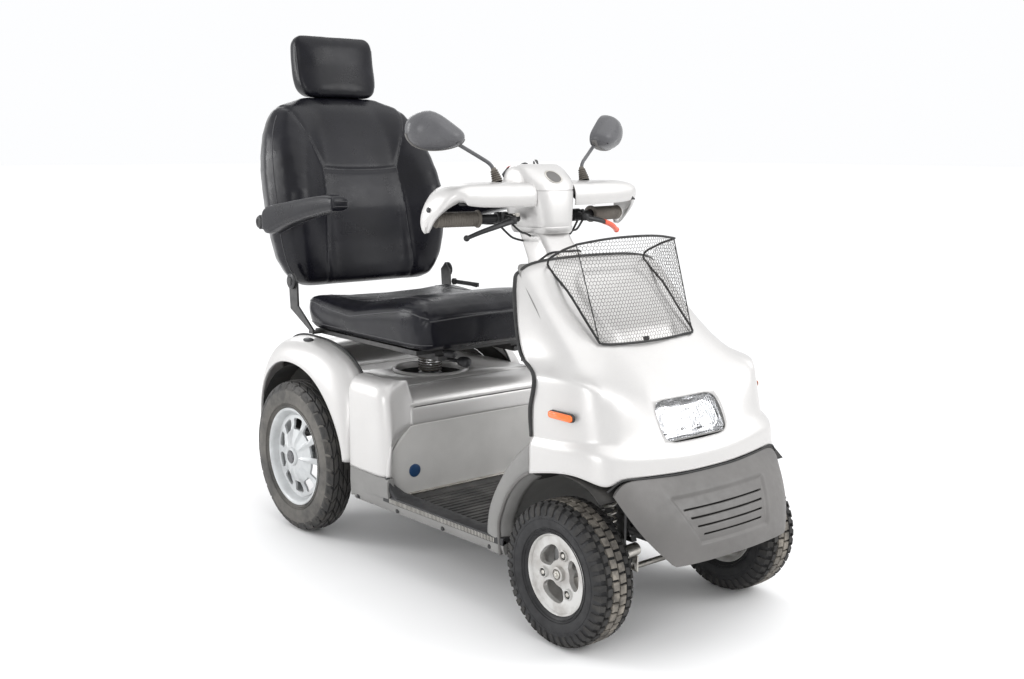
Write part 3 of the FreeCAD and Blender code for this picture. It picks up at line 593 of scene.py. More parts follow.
def make_palette():
    """Every look by its short name."""
    return {
        "silver": silver_paint(), "pale": light_grey_plastic(),
        # The wall's copy is more than twice as bright as the sills' pale plastic: painted light on a wall
        # that stands in shade.
        "wall": light_grey_plastic("wall_plastic_painted_light", 0.46),
        "grey": grey_plastic(), "black": black_plastic(),
        "gloss_black": black_plastic("gloss_black_plastic", 0.2, (0.012, 0.012, 0.014)),
        "seal": black_plastic("rubber_seal", 0.62, (0.02, 0.02, 0.02)),
        "liner": dark_liner(), "mat": mat_rubber(), "tyre": tyre_rubber(), "sidewall": sidewall_rubber(),
        "sidewall_clean": tyre_rubber("sidewall_clean", 0.12, (0.10, 0.10, 0.105), 0.42),
        "tread": tyre_rubber("tread_rubber", 0.95, (0.27, 0.245, 0.21)),
        "mirror_shell": black_plastic("mirror_shell_plastic", 0.3, (0.085, 0.085, 0.09), 1.12),
        "wire": black_plastic("wire_coating", 0.4, (0.05, 0.046, 0.042), 1.3),
        # Groove bottoms: the rubber's own black, kept almost free of the dust on the blocks and sidewalls,
        # which also paints shade into the grooves.
        "groove": tyre_rubber("groove_painted_shade_rubber", 0.06, (0.03, 0.03, 0.03), 0.7),
        "tread_dark": tyre_rubber("tread_dark_rubber", 0.5, (0.085, 0.078, 0.068), 0.36),
        "rim_paint": rim_paint(),
        "alloy": wheel_alloy(), "zinc": zinc_steel(), "steel": black_steel(), "vinyl": seat_vinyl(),
        "thread": stitch_thread(), "grip": grip_rubber(),
        "amber": lamp_lens("amber_lens", (0.85, 0.15, 0.008), 0.1),
        "red": lamp_lens("red_lens", (0.50, 0.012, 0.012)), "clear": clear_lens(),
        "chrome": bright_reflector(), "mirror": mirror_glass(), "orange": orange_sleeve(),
        "blue": sticker_blue(), "floor": studio_floor(),
    }


LOOK = make_palette()


# ---------------------------------------------------------------- front cowl and fender skirt
# Half of the shell's control net: rows from the wheel-arch lip up to the top edge, columns from
# the rear edge round to the middle.
COWL_NET = {
    "lip": [(-301, -487, 359), (-301, -540, 372), (-299, -606, 384), (-291, -655, 380), (-270, -694, 362),
            (-238, -706, 383), (-180, -716, 380), (-100, -727, 377), (-50, -730, 376), (0, -731, 376)],
    "shoulder": [(-301, -487, 424), (-301, -540, 427), (-299, -600, 430), (-290, -648, 432),
                 (-270, -683, 428), (-238, -702, 424), (-180, -712, 419), (-100, -721, 414),
                 (-50, -724, 412), (0, -725, 412)],
    "crease": [(-292, -487, 440), (-291, -546, 443), (-287, -600, 448), (-275, -638, 453),
               (-256, -664, 452), (-228, -682, 447), (-182, -693, 440), (-100, -697, 434),
               (-50, -699, 433), (0, -700, 432)],
    "flank": [(-296, -487, 500), (-294, -550, 501), (-286, -604, 502), (-269, -640, 501), (-247, -661, 498),
              (-216, -675, 492), (-172, -681, 484), (-100, -678, 474), (-50, -679, 474), (0, -680, 474)],
    "ledge_out": [(-288, -489, 570), (-284, -552, 574), (-276, -603, 573), (-260, -634, 567),
                  (-238, -650, 558), (-207, -664, 547), (-163, -664, 532), (-100, -651, 517),
                  (-50, -651, 517), (0, -652, 517)],
    "ledge_in": [(-251, -404, 600), (-249, -480, 599), (-244, -532, 594), (-234, -574, 588),
                 (-218, -598, 580), (-192, -616, 570), (-158, -622, 562), (-100, -612, 558),
                 (-50, -608, 558), (0, -606, 558)],
    "waist": [(-246, -383, 650), (-241, -425, 654), (-234, -460, 655), (-222, -488, 652), (-205, -506, 648),
              (-182, -518, 643), (-150, -527, 638), (-100, -532, 632), (-50, -533, 628), (0, -533, 626)],
    "upper": [(-243, -370, 719), (-236, -388, 724), (-226, -402, 727), (-212, -414, 728), (-194, -424, 727),
              (-170, -431, 725), (-140, -435, 723), (-100, -438, 722), (-50, -439, 722), (0, -440, 722)],
    "crown": [(-232, -358, 757), (-224, -366, 766), (-214, -372, 774), (-200, -377, 780), (-182, -381, 784),
              (-160, -384, 787), (-132, -387, 789), (-100, -389, 790), (-50, -391, 790), (0, -392, 790)],
    "top": [(-222, -350, 770), (-212, -350, 777), (-202, -350, 783), (-190, -349, 788), (-174, -349, 792),
            (-154, -349, 795), (-130, -349, 797), (-100, -350, 799), (-50, -350, 800), (0, -350, 801)],
}
LAMP_HALF = 98.0
LAMP_HEIGHT = 92.0


def full_row(row):
    """A half row from the right side, with its mirror image added."""
    return [Vector(p) for p in row] + [Vector((-x, y, z)) for x, y, z in row[-2::-1]]


def hood_panel_lift(point):
    """Height of the soft raised panel on the hood behind the basket."""
    dx = abs(point.x) - 74
    dz = abs(point.z - 700) - 30
    gap = math.hypot(max(dx, 0), max(dz, 0)) - 46
    return 12 * smoothstep(-gap / 16)


def cowl_shell():
    rows = [full_row(row) for row in COWL_NET.values()]
    inner_lip = [p + Vector((4 if p.x < 0 else -4, 5, 3)) for p in rows[0]]
    shape = Shape().grid([inner_lip] + rows)
    names = ["inner_lip"] + list(COWL_NET)
    columns = len(rows[0])
    middle = columns // 2
    lamp_rows = (names.index("crease"), names.index("flank"))
    lamp_columns = range(middle - 2, middle + 2)
    kept = []
    for index, face in enumerate(shape.faces):
        r, c = divmod(index, columns - 1)
        if r in lamp_rows and c in lamp_columns:
            continue
        kept.append(face)
    shape.faces = kept
    sharp = {tuple(round(v, 1) for v in p): row for row, points in zip(names[1:], rows) for p in points}

    def crease(a, b):
        """The arch lip is sharp, and the crease over the fender fades out towards the front."""
        ra = sharp.get(tuple(round(v, 1) for v in a))
        rb = sharp.get(tuple(round(v, 1) for v in b))
        if ra != rb or ra is None:
            return 0.0
        side = smoothstep((min(abs(a.x), abs(b.x)) - 170) / 90)
        return {"lip": 0.8, "crease": 0.75 * side, "shoulder": 0.35, "ledge_out": 0.5 * side,
                "top": 0.6}.get(ra, 0.0)

    shell = shape.make("front_cowl_shell", "silver", subdivide=3, creases=crease)
    apply_modifiers(shell)

    def lift(point, normal):
        return normal * (hood_panel_lift(point) if 560 < point.z < 800 and abs(point.x) < 200 else 0.0)

    move_points(shell, lift)
    step = shell.modifiers.new("wall", "SOLIDIFY")
    step.thickness = 3.5 * MM
    step.offset = -1.0
    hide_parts("front_cowl", "front_fenders")


def cowl_seals():
    """Black rubber edging: along the top, down the rear edge and along the skirt's front seam."""
    net = COWL_NET
    side = [net["top"][0], net["crown"][0], net["upper"][0], net["waist"][0], net["ledge_in"][0],
            net["ledge_out"][0], net["flank"][0], net["crease"][0]]
    half = [net["top"][i] for i in (9, 7, 5, 3, 1)] + side
    whole = [Vector((-x, y, z)) for x, y, z in half[:0:-1]] + [Vector(p) for p in half]
    line = [p + Vector((0, 3, 0)) for p in curve_through(whole, 6)]
    shape = Shape().tube(line, 4.5, 8)
    seam = [Vector(p) + Vector((0, -1.5, -2.5)) for p in full_row(net["lip"][4:])]
    shape.tube(curve_through(seam, 4), 2.2, 6)
    shape.make("cowl_edge_seal", "seal")


def wheel_arch_liner():
    """Dark inner housings over the front wheels."""
    shape = Shape()
    outline = [(-432, 322), (-458, 350), (-505, 370), (-590, 378), (-660, 366), (-700, 340)]
    line = curve_through([(0, y, z) for y, z in outline], 5)
    rows = [[Vector((x, p.y, p.z)) for p in line] for x in (-294, -250, -150)]
    shape.grid(rows)
    shape.mirrored()
    shape.make("front_arch_liner", "liner", thick=2.5, smooth=40)


def front_flare():
    """Plastic flare round the rear half of each front wheel arch, from the sill up to the cowl."""
    outer = [(-338, 150), (-336, 200), (-346, 255), (-377, 315), (-425, 377), (-487, 432)]
    inner = [(-388, 150), (-382, 215), (-394, 255), (-415, 297), (-452, 338), (-487, 361)]
    shape = Shape()
    rows = []
    for a, b in zip(curve_through([(0, *p) for p in outer], 6), curve_through([(0, *p) for p in inner], 6)):
        into = (b - a).normalized()
        rows.append([Vector((-281, a.y + 2, a.z)), Vector((-296, a.y, a.z)),
                     Vector((-301, a.y, a.z)) + into * 8, Vector((-302, b.y, b.z)) - into * 8,
                     Vector((-298, b.y, b.z)), Vector((-284, b.y, b.z)) + into * 9,
                     Vector((-262, b.y, b.z)) + into * 14])
    shape.grid(rows).mirrored()
    shape.make("front_arch_flare", "pale", thick=3, subdivide=1)
    trim = Shape()
    edge = [Vector((-299, p.y, p.z)) for p in curve_through([(0, *p) for p in inner], 6)]
    trim.tube(edge, 4.0, 8).mirrored()
    trim.make("front_arch_lip", "grey")


# ---------------------------------------------------------------- lamps
def headlamp():
    """Clear fluted lens over a bright housing with three reflector bowls."""
    low, high = (-697.0, 436.0), (-650.0, 515.0)

    def at(x, t, proud):
        y, z = mix(low[0], high[0], t), mix(low[1], high[1], t)
        return Vector((x, y - proud * 0.86 + 4 * (x / LAMP_HALF) ** 2, z + proud * 0.5))

    def plate(half, t0, t1, proud, bulge):
        outline = rounded_box_line(half, (t1 - t0) / 2 * LAMP_HEIGHT, 16, 6)
        middle = (t0 + t1) / 2
        rings = []
        for share in (1.0, 0.97, 0.8, 0.5, 0.2):
            drop = 0.0 if share < 1 else -3.0
            rings.append([at(u * share, middle + v * share / LAMP_HEIGHT, proud + drop
                             + bulge * (1 - share ** 3)) for u, v in outline])
        return rings

    rings = plate(LAMP_HALF - 1, 0.02, 0.98, 2.5, 4.0)
    lens = Shape().grid(rings, around=True)
    lens.add(rings[-1], [list(range(len(rings[-1])))])
    lens.make("headlamp_lens_cover", "clear", subdivide=1, thick=1.8, weld=True, replaces=["headlamp_lens"])
    gasket = Shape()
    edge = rounded_box_line(LAMP_HALF + 1, LAMP_HEIGHT / 2, 16, 6)
    gasket.tube([at(u, 0.5 + v / LAMP_HEIGHT, 0.6) for u, v in edge], 1.7, 8, closed=True)
    gasket.make("headlamp_gasket", "pale")
    bowl = Shape()
    back = [at(u, 0.5 + v / LAMP_HEIGHT, -1) for u, v in rounded_box_line(LAMP_HALF - 2, 45, 14, 6)]
    deep = [at(u, 0.5 + v / LAMP_HEIGHT, -26) for u, v in rounded_box_line(LAMP_HALF - 8, 36, 12, 6)]
    floor = [at(u, 0.5 + v / LAMP_HEIGHT, -28) for u, v in rounded_box_line(LAMP_HALF - 12, 32, 10, 6)]
    bowl.grid([back, deep, floor], around=True)
    bowl.add(floor, [list(range(len(floor)))])
    normal = Vector((0, -0.86, 0.5))
    for x, size in ((-58, 30), (0, 24), (58, 30)):
        profile = [(-24, 0.1), (-23, size * 0.45), (-17, size * 0.8), (-8, size), (-8, size + 2),
                   (-25, size * 0.8)]
        bowl.turned(profile, at(x, 0.5, 0), normal, 32, closed=False)
        bowl.turned([(-22, 0.1), (-22, 5), (-10, 5), (-7, 3), (-6, 0.1)], at(x, 0.5, 0), normal, 16,
                    closed=False)
    bowl.make("headlamp_reflector", "chrome", replaces=["headlamp_housing"])


def side_indicators():
    """Amber pill lamps on the fender flanks, each on a thin black gasket."""
    low, high = low_high("side_indicators")
    y, z = (low.y + high.y) / 2, (low.z + high.z) / 2 - 4
    half_y, half_z = (high.y - low.y) / 2 + 6, (high.z - low.z) / 2 - 3.5
    for side, tag in SIDES:
        lens, gasket = Shape(), Shape()
        for shape, grow, outs in ((gasket, 1.0, (290, 296.5, 296.5)), (lens, 0.0, (292, 300, 302.5))):
            outline = rounded_box_line(half_y + grow, half_z + grow, half_z + grow - 1, 6)
            rings = [[(out, y + u * share, z + v * share) for u, v in outline]
                     for out, share in zip(outs, (1.0, 0.97, 0.82))]
            shape.grid(rings, around=True, ends=True).flipped(side)
        lens.make(f"side_indicator_lens_{tag}", "amber", replaces=["side_indicators"])
        gasket.make(f"side_indicator_gasket_{tag}", "seal")


# ---------------------------------------------------------------- front bumper
BUMPER_NET = [
    [(-262, -707, 350), (-239, -709, 380), (-180, -718, 377),
     (-120, -726, 374), (-60, -731, 373), (0, -732, 373)],
    [(-258, -716, 337), (-238, -731, 345), (-182, -748, 345),
     (-120, -757, 345), (-60, -762, 345), (0, -763, 345)],
    [(-246, -738, 306), (-229, -758, 300), (-180, -779, 300),
     (-120, -790, 300), (-60, -796, 300), (0, -797, 300)],
    [(-229, -760, 272), (-214, -778, 266), (-172, -797, 262),
     (-118, -808, 262), (-60, -814, 262), (0, -816, 262)],
    [(-206, -782, 240), (-195, -793, 236), (-165, -804, 232),
     (-115, -811, 230), (-60, -815, 230), (0, -817, 230)],
    [(-181, -800, 213), (-174, -803, 209), (-150, -806, 207),
     (-110, -809, 206), (-60, -811, 205), (0, -812, 205)],
]


def grille_depth(point):
    """Depth of the sunk trapezoid in the middle of the bumper."""
    t = (point.z - 246) / 92
    if not -0.3 < t < 1.3:
        return 0.0
    half = mix(106, 146, t)
    inside = min(half - abs(point.x), (point.z - 246), (338 - point.z))
    return 5.5 * smoothstep((inside + 3) / 6)


def front_bumper():
    rows = [full_row(row) for row in BUMPER_NET]
    bottom = [p + Vector((0, 14, 4)) for p in rows[-1]]
    first = [p + Vector((2 if p.x < 0 else -2, 9, -2)) for p in rows[0]]
    shape = Shape().grid([first] + rows + [bottom])

    def crease(a, b):
        edge = {round(p.z, 1) for p in rows[0] + rows[-1]}
        return 0.6 if round(a.z, 1) in edge and round(b.z, 1) in edge and abs(a.z - b.z) < 40 else 0.0

    shell = shape.make("front_bumper_shell", "grey", subdivide=4, creases=crease)
    apply_modifiers(shell)
    move_points(shell, lambda p, n: -n * grille_depth(p))
    step = shell.modifiers.new("wall", "SOLIDIFY")
    step.thickness = 3.5 * MM
    step.offset = -1.0
    apply_modifiers(shell)
    cutter = Shape()
    for i in range(4):
        z = 262 + i * 16.5
        half = mix(90, 122, i / 3)
        outline = [(half * math.copysign(1, u) + u, z + v) for u, v in rounded_box_line(3, 2.0, 1.9, 4)]
        cutter.prism(outline, "Y", -840, -770)
    cut_out(shell, cutter)
    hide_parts("front_bumper")
    liner = Shape()
    back = [[p + Vector((0, 16, 0)) for p in row[1:-1]] for row in rows]
    liner.grid(back)
    liner.make("front_bumper_liner", "liner", thick=2, subdivide=1)


# ---------------------------------------------------------------- basket
def hex_net(outline, pitch, place):
    """Hexagon mesh inside a closed (u, v) outline; place maps (u, v) to a point."""
    radius = pitch / math.sqrt(3)
    us, vs = [p[0] for p in outline], [p[1] for p in outline]

    def inside(u, v):
        hit = False
        for (u0, v0), (u1, v1) in zip(outline, outline[1:] + outline[:1]):
            if (v0 > v) != (v1 > v) and u < (u1 - u0) * (v - v0) / (v1 - v0) + u0:
                hit = not hit
        return hit

    def clamped(u, v):
        if inside(u, v):
            return u, v
        best = None
        for (u0, v0), (u1, v1) in zip(outline, outline[1:] + outline[:1]):
            du, dv = u1 - u0, v1 - v0
            t = min(1, max(0, ((u - u0) * du + (v - v0) * dv) / (du * du + dv * dv)))
            q = (u0 + du * t, v0 + dv * t)
            gap = (q[0] - u) ** 2 + (q[1] - v) ** 2
            if best is None or gap < best[0]:
                best = (gap, q)
        return best[1]

    points, index, faces = [], {}, []
    rows = int((max(vs) - min(vs)) / (1.5 * radius)) + 2
    columns = int((max(us) - min(us)) / pitch) + 2
    for r in range(rows):
        for c in range(columns):
            cu = min(us) + c * pitch + (pitch / 2 if r % 2 else 0)
            cv = min(vs) + r * 1.5 * radius
            if not inside(cu, cv):
                continue
            face = []
            for k in range(6):
                a = math.radians(30 + 60 * k)
                u, v = cu + radius * math.cos(a), cv + radius * math.sin(a)
                key = (round(u * 4 / radius), round(v * 4 / radius))
                if key not in index:
                    index[key] = len(points)
                    points.append(place(*clamped(u, v)))
                face.append(index[key])
            faces.append(face)
    return points, faces


BASKET_WING = [(-541, 634), (-500, 676), (-441, 737), (-374, 757), (-418, 823), (-466, 840)]      # (y, z)


def basket_front(x, z):
    """Point of the basket's bowed front sheet at width x and height z."""
    t = (z - 628) / 222
    y = mix(mix(-547, -541, (x / 148) ** 2), mix(-495, -467, (x / 155) ** 2), t)
    return Vector((x, y, z))


def basket():
    """Wire front and wings, which stand on the cowl with a rim all round."""
    cowl = skin_tree(bpy.data.objects["front_cowl_shell"])

    def rest_on_cowl(p, gap=4.0):
        hit = cowl.ray_cast(Vector((p.x, p.y, 1000)), Vector((0, 0, -1)))[0]
        return Vector((p.x, p.y, max(p.z, hit.z + gap))) if hit else Vector(p)

    def half(z):
        return mix(147, 155, (z - 632) / 210)

    outline = [(-147, 632), (-80, 627), (0, 625), (80, 627), (147, 632), (155, 842), (80, 852), (0, 855),
               (-80, 852), (-155, 842)]
    net = Shape()
    net.add(*hex_net(outline, 8.6, lambda x, z: rest_on_cowl(basket_front(x, z))))
    points, faces = hex_net(BASKET_WING, 8.6, lambda y, z: rest_on_cowl(Vector((half(z) + 1.0, y, z))))
    net.add(points, faces)
    net.add([(-p.x, p.y, p.z) for p in points], faces)
    mesh = net.make("front_basket_mesh", "wire", fix_normals=False, replaces=["front_basket"])
    step = mesh.modifiers.new("wires", "WIREFRAME")
    step.thickness = 1.15 * MM
    step.use_boundary = True
    step.use_even_offset = False
    rim = Shape()
    wing = [rest_on_cowl(Vector((-half(z) - 1, y, z)), 5) for y, z in BASKET_WING]
    top = [basket_front(x, z) for x, z in ((-150, 843), (-80, 852), (0, 855), (80, 852), (150, 843))]
    foot = [rest_on_cowl(basket_front(x, z), 5) for x, z in ((-120, 629), (-60, 626), (0, 625), (60, 626),
                                                             (120, 629))]
    other = [Vector((-p.x, p.y, p.z)) for p in wing[::-1]]
    rim.tube(curve_through(wing + top + other + foot[::-1] + wing[:1], 4)[:-1], 2.7, 8, closed=True)
    for edge in (1, -1):
        post = [rest_on_cowl(basket_front(edge * half(z), z), 5) for z in (640, 700, 760, 820, 842)]
        rim.tube(curve_through(post, 3), 1.2, 8)
    rim.make("front_basket_rim", "seal", slot="wire_mesh")
    clips = Shape()
    for x in (-149, 149):
        clips.prism([(-412, 733), (-396, 752), (-388, 745), (-384, 722), (-398, 716)], "X", x - 5, x + 5)
        clips.rod((x - 8, -399, 737), (x + 8, -399, 737), 3.5, sides=12)
    clips.prism([(-540, 616), (-536, 634), (-528, 634), (-524, 622)], "X", -9, 9)
    clips.make("front_basket_clips", "black", bevel=0.8)


# ---------------------------------------------------------------- deck and sills
def foot_deck():
    """Rubber mat with wide and narrow ribs across the floor, and the bright strip behind it."""
    low, high = low_high("foot_mat")
    mat = Shape()
    edge = rounded_box_line((high.x - low.x) / 2, (high.y - low.y) / 2, 14, 5)
    middle_y = (low.y + high.y) / 2
    rings = [[(u * s, middle_y + v * s, z) for u, v in edge]
             for s, z in ((1.0, low.z), (1.0, high.z - 1.6), (0.996, high.z - 1.0))]
    mat.grid(rings, around=True, ends=True)
    half = (high.x - low.x) / 2 - 12
    pitch = 19.0
    for i in range(int((high.y - low.y - 24) / pitch)):
        y = low.y + 18 + i * pitch
        ring = rounded_box_line(half, 3.2 if i % 2 else 1.6, 1.5, 3)
        levels = ((1.0, high.z - 1.4), (0.997, high.z + 1.2), (0.99, high.z + 2.0))
        mat.grid([[(u * s, y + v * s, z) for u, v in ring] for s, z in levels], around=True, ends=True)
    mat.make("foot_mat_ribbed", "mat", smooth=30, replaces=["foot_mat"])
    strip = Shape()
    rear = high.y + 7
    strip.prism([(rear - 4, high.z - 2), (rear - 4, high.z + 2.5), (rear + 5, high.z + 3.5),
                 (rear + 5, high.z - 2)], "X", low.x + 6, high.x - 6)
    strip.make("deck_rear_strip", "zinc", bevel=0.6)


def sill_outer(y):
    """Outer face of the sill at length y."""
    return mix(322, 300, (190 - y) / 588)


def side_sills():
    stations = [-398, -340, -240, -120, 0, 100, 190]
    for side, tag in SIDES:
        body, band, plugs = Shape(), Shape(), Shape()
        rows = []
        for y in stations:
            x = sill_outer(y)
            rows.append([(286, y, 175), (x - 6, y, 186.5), (x - 1.5, y, 184), (x, y, 178), (x - 1, y, 165),
                         (x - 5, y, 153), (x - 10, y, 148), (288, y, 149)])
        body.grid(rows, around=True, ends=True).flipped(side)
        body.make(f"side_sill_{tag}", "pale", smooth=45, bevel=1.2, replaces=["side_sills"])
        top = Shape()
        rows = []
        for y in [-398, -340, -240, -120, 0, 56]:
            x = sill_outer(y)
            rows.append([(264, y, 185), (264, y, 189.5), (268, y, 190.5), (x - 5, y, 190),
                         (x - 0.5, y, 188), (x + 0.8, y, 184), (x + 0.8, y, 173), (x - 2, y, 172)])
        top.grid(rows, around=True, ends=True).flipped(side)
        top.make(f"sill_top_moulding_{tag}", "black", bevel=0.8)
        y = stations[0] + 30
        while y < 30:
            x = sill_outer(y)
            band.box((x - 2, y, 174.5), (x + 1.3, y + 2.0, 185))
            y += 5.2
        band.flipped(side)
        band.make(f"sill_hatching_{tag}", "zinc", smooth=30)
        for y in (170, 0, -180, -350):
            x = sill_outer(y)
            plugs.turned([(-3, 0.1), (-3, 5.5), (1.0, 5.5), (2.2, 4.2), (2.4, 0.1)], (x - 1.5, y, 159),
                         steps=16, closed=False)
        plugs.flipped(side)
        plugs.make(f"sill_plugs_{tag}", "black")


def kick_panels():
    """Grey skirts under the side blocks, and the black corner mouldings at the rear of the deck."""
    for side, tag in SIDES:
        panel = Shape()
        rows = []
        for y, z_low, z_top in ((30, 184, 234), (60, 182, 236), (120, 178, 238), (175, 168, 240),
                                (203, 156, 242)):
            rows.append([(300, y, z_top), (317, y, z_top - 1), (321, y, z_top - 6),
                         (322, y, mix(z_low, z_top, .5)), (320, y, z_low), (302, y, z_low - 3)])
        panel.grid(rows, around=True, ends=True).flipped(side)
        panel.make(f"kick_panel_{tag}", "pale", bevel=1.5)
        corner = Shape()
        rows = []
        for z, x_out, x_in, y in ((178, 309, 258, -6), (190, 311, 262, 0), (200, 313, 272, 14),
                                  (212, 315, 286, 24), (226, 316, 296, 30), (240, 316, 302, 32)):
            rows.append([(x_in, 57, z), (x_in + 4, y + 20, z), (mix(x_in, x_out, .55), y + 6, z),
                         (x_out - 3, y, z), (x_out + 3, y + 2, z), (x_out + 4, y + 14, z),
                         (x_out - 4, 60, z)])
        corner.grid(rows, around=True, ends=True).flipped(side)
        corner.make(f"deck_corner_{tag}", "black", subdivide=2)


# ---------------------------------------------------------------- seat base
# Side block: how far in the front face reaches at each height
BLOCK_LEVELS = ((236, 307), (262, 304), (288, 296), (312, 282), (334, 258), (352, 228), (372, 219),
                (400, 219), (420, 225))
# Its rounded shoulder: (height, inner edge, how far it has drawn in)
BLOCK_SHOULDER = ((436, 231, 1), (449, 236, 5), (459, 239, 11), (466, 241, 19), (471, 243, 30),
                  (473, 245, 42))


def block_ring(z, inner, shrink=0.0):
    """Path round one side block at height z: along its front, round the corner and back down its flank."""
    out = 325 - shrink
    front = 30 + 14 * smoothstep((z - 340) / 130) + shrink
    return [(inner, WALL_Y - 1, z), (mix(inner, out, 0.30), mix(WALL_Y, front, 0.42), z),
            (mix(inner, out, 0.62), mix(WALL_Y, front, 0.78) + 3, z), (out - 26, front + 5, z),
            (out - 9, front + 14, z), (out - 1, front + 34, z), (out, front + 70, z), (out, 150, z),
            (out, 196, z), (out - 3, 206, z), (out - 22, 208, z)]


def side_blocks():
    for side, tag in SIDES:
        rows = [block_ring(z, inner) for z, inner in BLOCK_LEVELS]
        rows += [block_ring(z, inner, shrink) for z, inner, shrink in BLOCK_SHOULDER]
        last = rows[-1]
        rows.append([(mix(x, 247, 0.8), mix(y, 150, 0.25), 470) for x, y, _ in last])
        rows.append([(247, mix(y, 150, 0.25), 446) for x, y, _ in last])
        shape = Shape().grid(rows).flipped(side)
        shape.make(f"side_block_{tag}", "silver", subdivide=2, thick=3)


def base_wall():
    """Grey front wall of the seat base with the pale strip along its top."""
    rows = []
    for z, half, y in ((166, 262, 55), (200, 285, 55), (240, 305, 56), (280, 300, 57), (320, 272, 57),
                       (345, 246, 56), (355, 240, 55)):
        rows.append([(half * t, y + 2.5 * (1 - t * t), z) for t in (-1, -0.8, -0.4, 0, 0.4, 0.8, 1)])
    # The wall wears the brightened copy of the pale plastic: painted light on its shaded face.
    Shape().grid(rows).make("seat_base_wall", "wall", subdivide=2, thick=3, replaces=["seat_base"])
    sides = Shape()
    outline = [(57, 170), (57, 400), (640, 400), (660, 330), (640, 240), (240, 236), (215, 170)]
    sides.prism(outline, "X", 242, 246).mirrored()
    sides.make("seat_base_cheeks", "grey", bevel=1)
    rows = []
    for z, y in ((352, 57), (356, 52), (362, 50.5), (378, 50), (394, 50.5), (400, 53)):
        rows.append([(236 * t, y + 1.5 * (1 - t * t), z) for t in (-1, -0.8, -0.4, 0, 0.4, 0.8, 1)])
    Shape().grid(rows).make("seat_base_strip", "silver", subdivide=2, thick=3)
    disc = Shape()
    disc.turned([(-6, 0.1), (-6, 17), (0.6, 17), (1.2, 16), (1.3, 0.1)], (-222, 52.5, 236), (0, -1, -0.06),
                40, closed=False)
    disc.make("blank_sticker", "blue")


def base_cover():
    """Silver cover over the batteries: concave front, ringed opening for the post, rear hump."""
    top = BASE_TOP
    ring_r, side_x = 99.0, 246.0
    rows = []
    for y, z in ((51, 402), (50, 407), (53, 414), (62, 424), (80, 434), (104, top), (140, top + 1)):
        rows.append([(side_x * t, y + (3 if y < 60 else 0) * (1 - t * t), z) for t in
                     (-1, -0.85, -0.5, 0, 0.5, 0.85, 1)])
    Shape().grid(rows).make("base_cover_front", "silver", subdivide=2, thick=3, replaces=["seat_base_top"])
    plate = Shape()
    steps = 64
    inner, outer = [], []
    for i in range(steps):
        a = 2 * math.pi * i / steps
        c, s = math.cos(a), math.sin(a)
        inner.append(Vector((ring_r * c, POST_Y + ring_r * s, top + 1)))
        along = (POST_Y - 140) / max(-s, 1e-6) if s < 0 else 168 / max(s, 1e-6)
        reach = min(side_x / max(abs(c), 1e-6), along)
        outer.append(Vector((reach * c, POST_Y + reach * s, top + 1)))
    plate.grid([inner, [a.lerp(b, 0.15) for a, b in zip(inner, outer)], outer], around=True)
    plate.make("base_cover_top", "silver", thick=3, smooth=30)
    lip = Shape()
    lip.turned([(0, ring_r - 3), (4, ring_r - 2), (6, ring_r + 1), (5, ring_r + 5), (1, ring_r + 8),
                (-2, ring_r + 8), (-14, ring_r - 3)], (0, POST_Y, top + 1), (0, 0, 1), 72)
    lip.make("post_opening_ring", "silver")
    well = Shape()
    well.turned([(-12, ring_r - 3), (-60, ring_r - 6), (-62, 30), (-58, 30), (-57, ring_r - 9),
                 (-12, ring_r - 6)], (0, POST_Y, top + 1), (0, 0, 1), 48)
    well.make("post_well", "liner")
    rows = []
    for y, z in ((458, top + 1), (480, top + 3), (505, top + 14), (525, 478), (545, 496), (570, 500),
                 (615, 500), (638, 496), (655, 484), (676, 470)):
        edge = min(z, 468)
        rows.append([(x, y, mix(z, edge, abs(x / side_x) ** 6))
                     for x in (-246, -240, -200, -100, 0, 100, 200, 240, 246)])
    Shape().grid(rows).make("base_cover_hump", "silver", subdivide=2, thick=3)


# ---------------------------------------------------------------- rear fenders
FENDER_TOP = [(211, 236), (211, 320), (216, 380), (232, 430), (268, 474), (330, 508), (410, 527),
              (490, 531), (560, 529), (618, 512), (662, 474), (686, 420), (694, 350), (690, 290),
              (684, 250)]
FENDER_LIP = [(236, 238), (240, 262), (250, 292), (266, 322), (292, 362), (338, 410), (392, 445),
              (452, 463), (512, 468), (572, 461), (622, 434), (654, 396), (672, 356), (680, 312),
              (682, 262)]


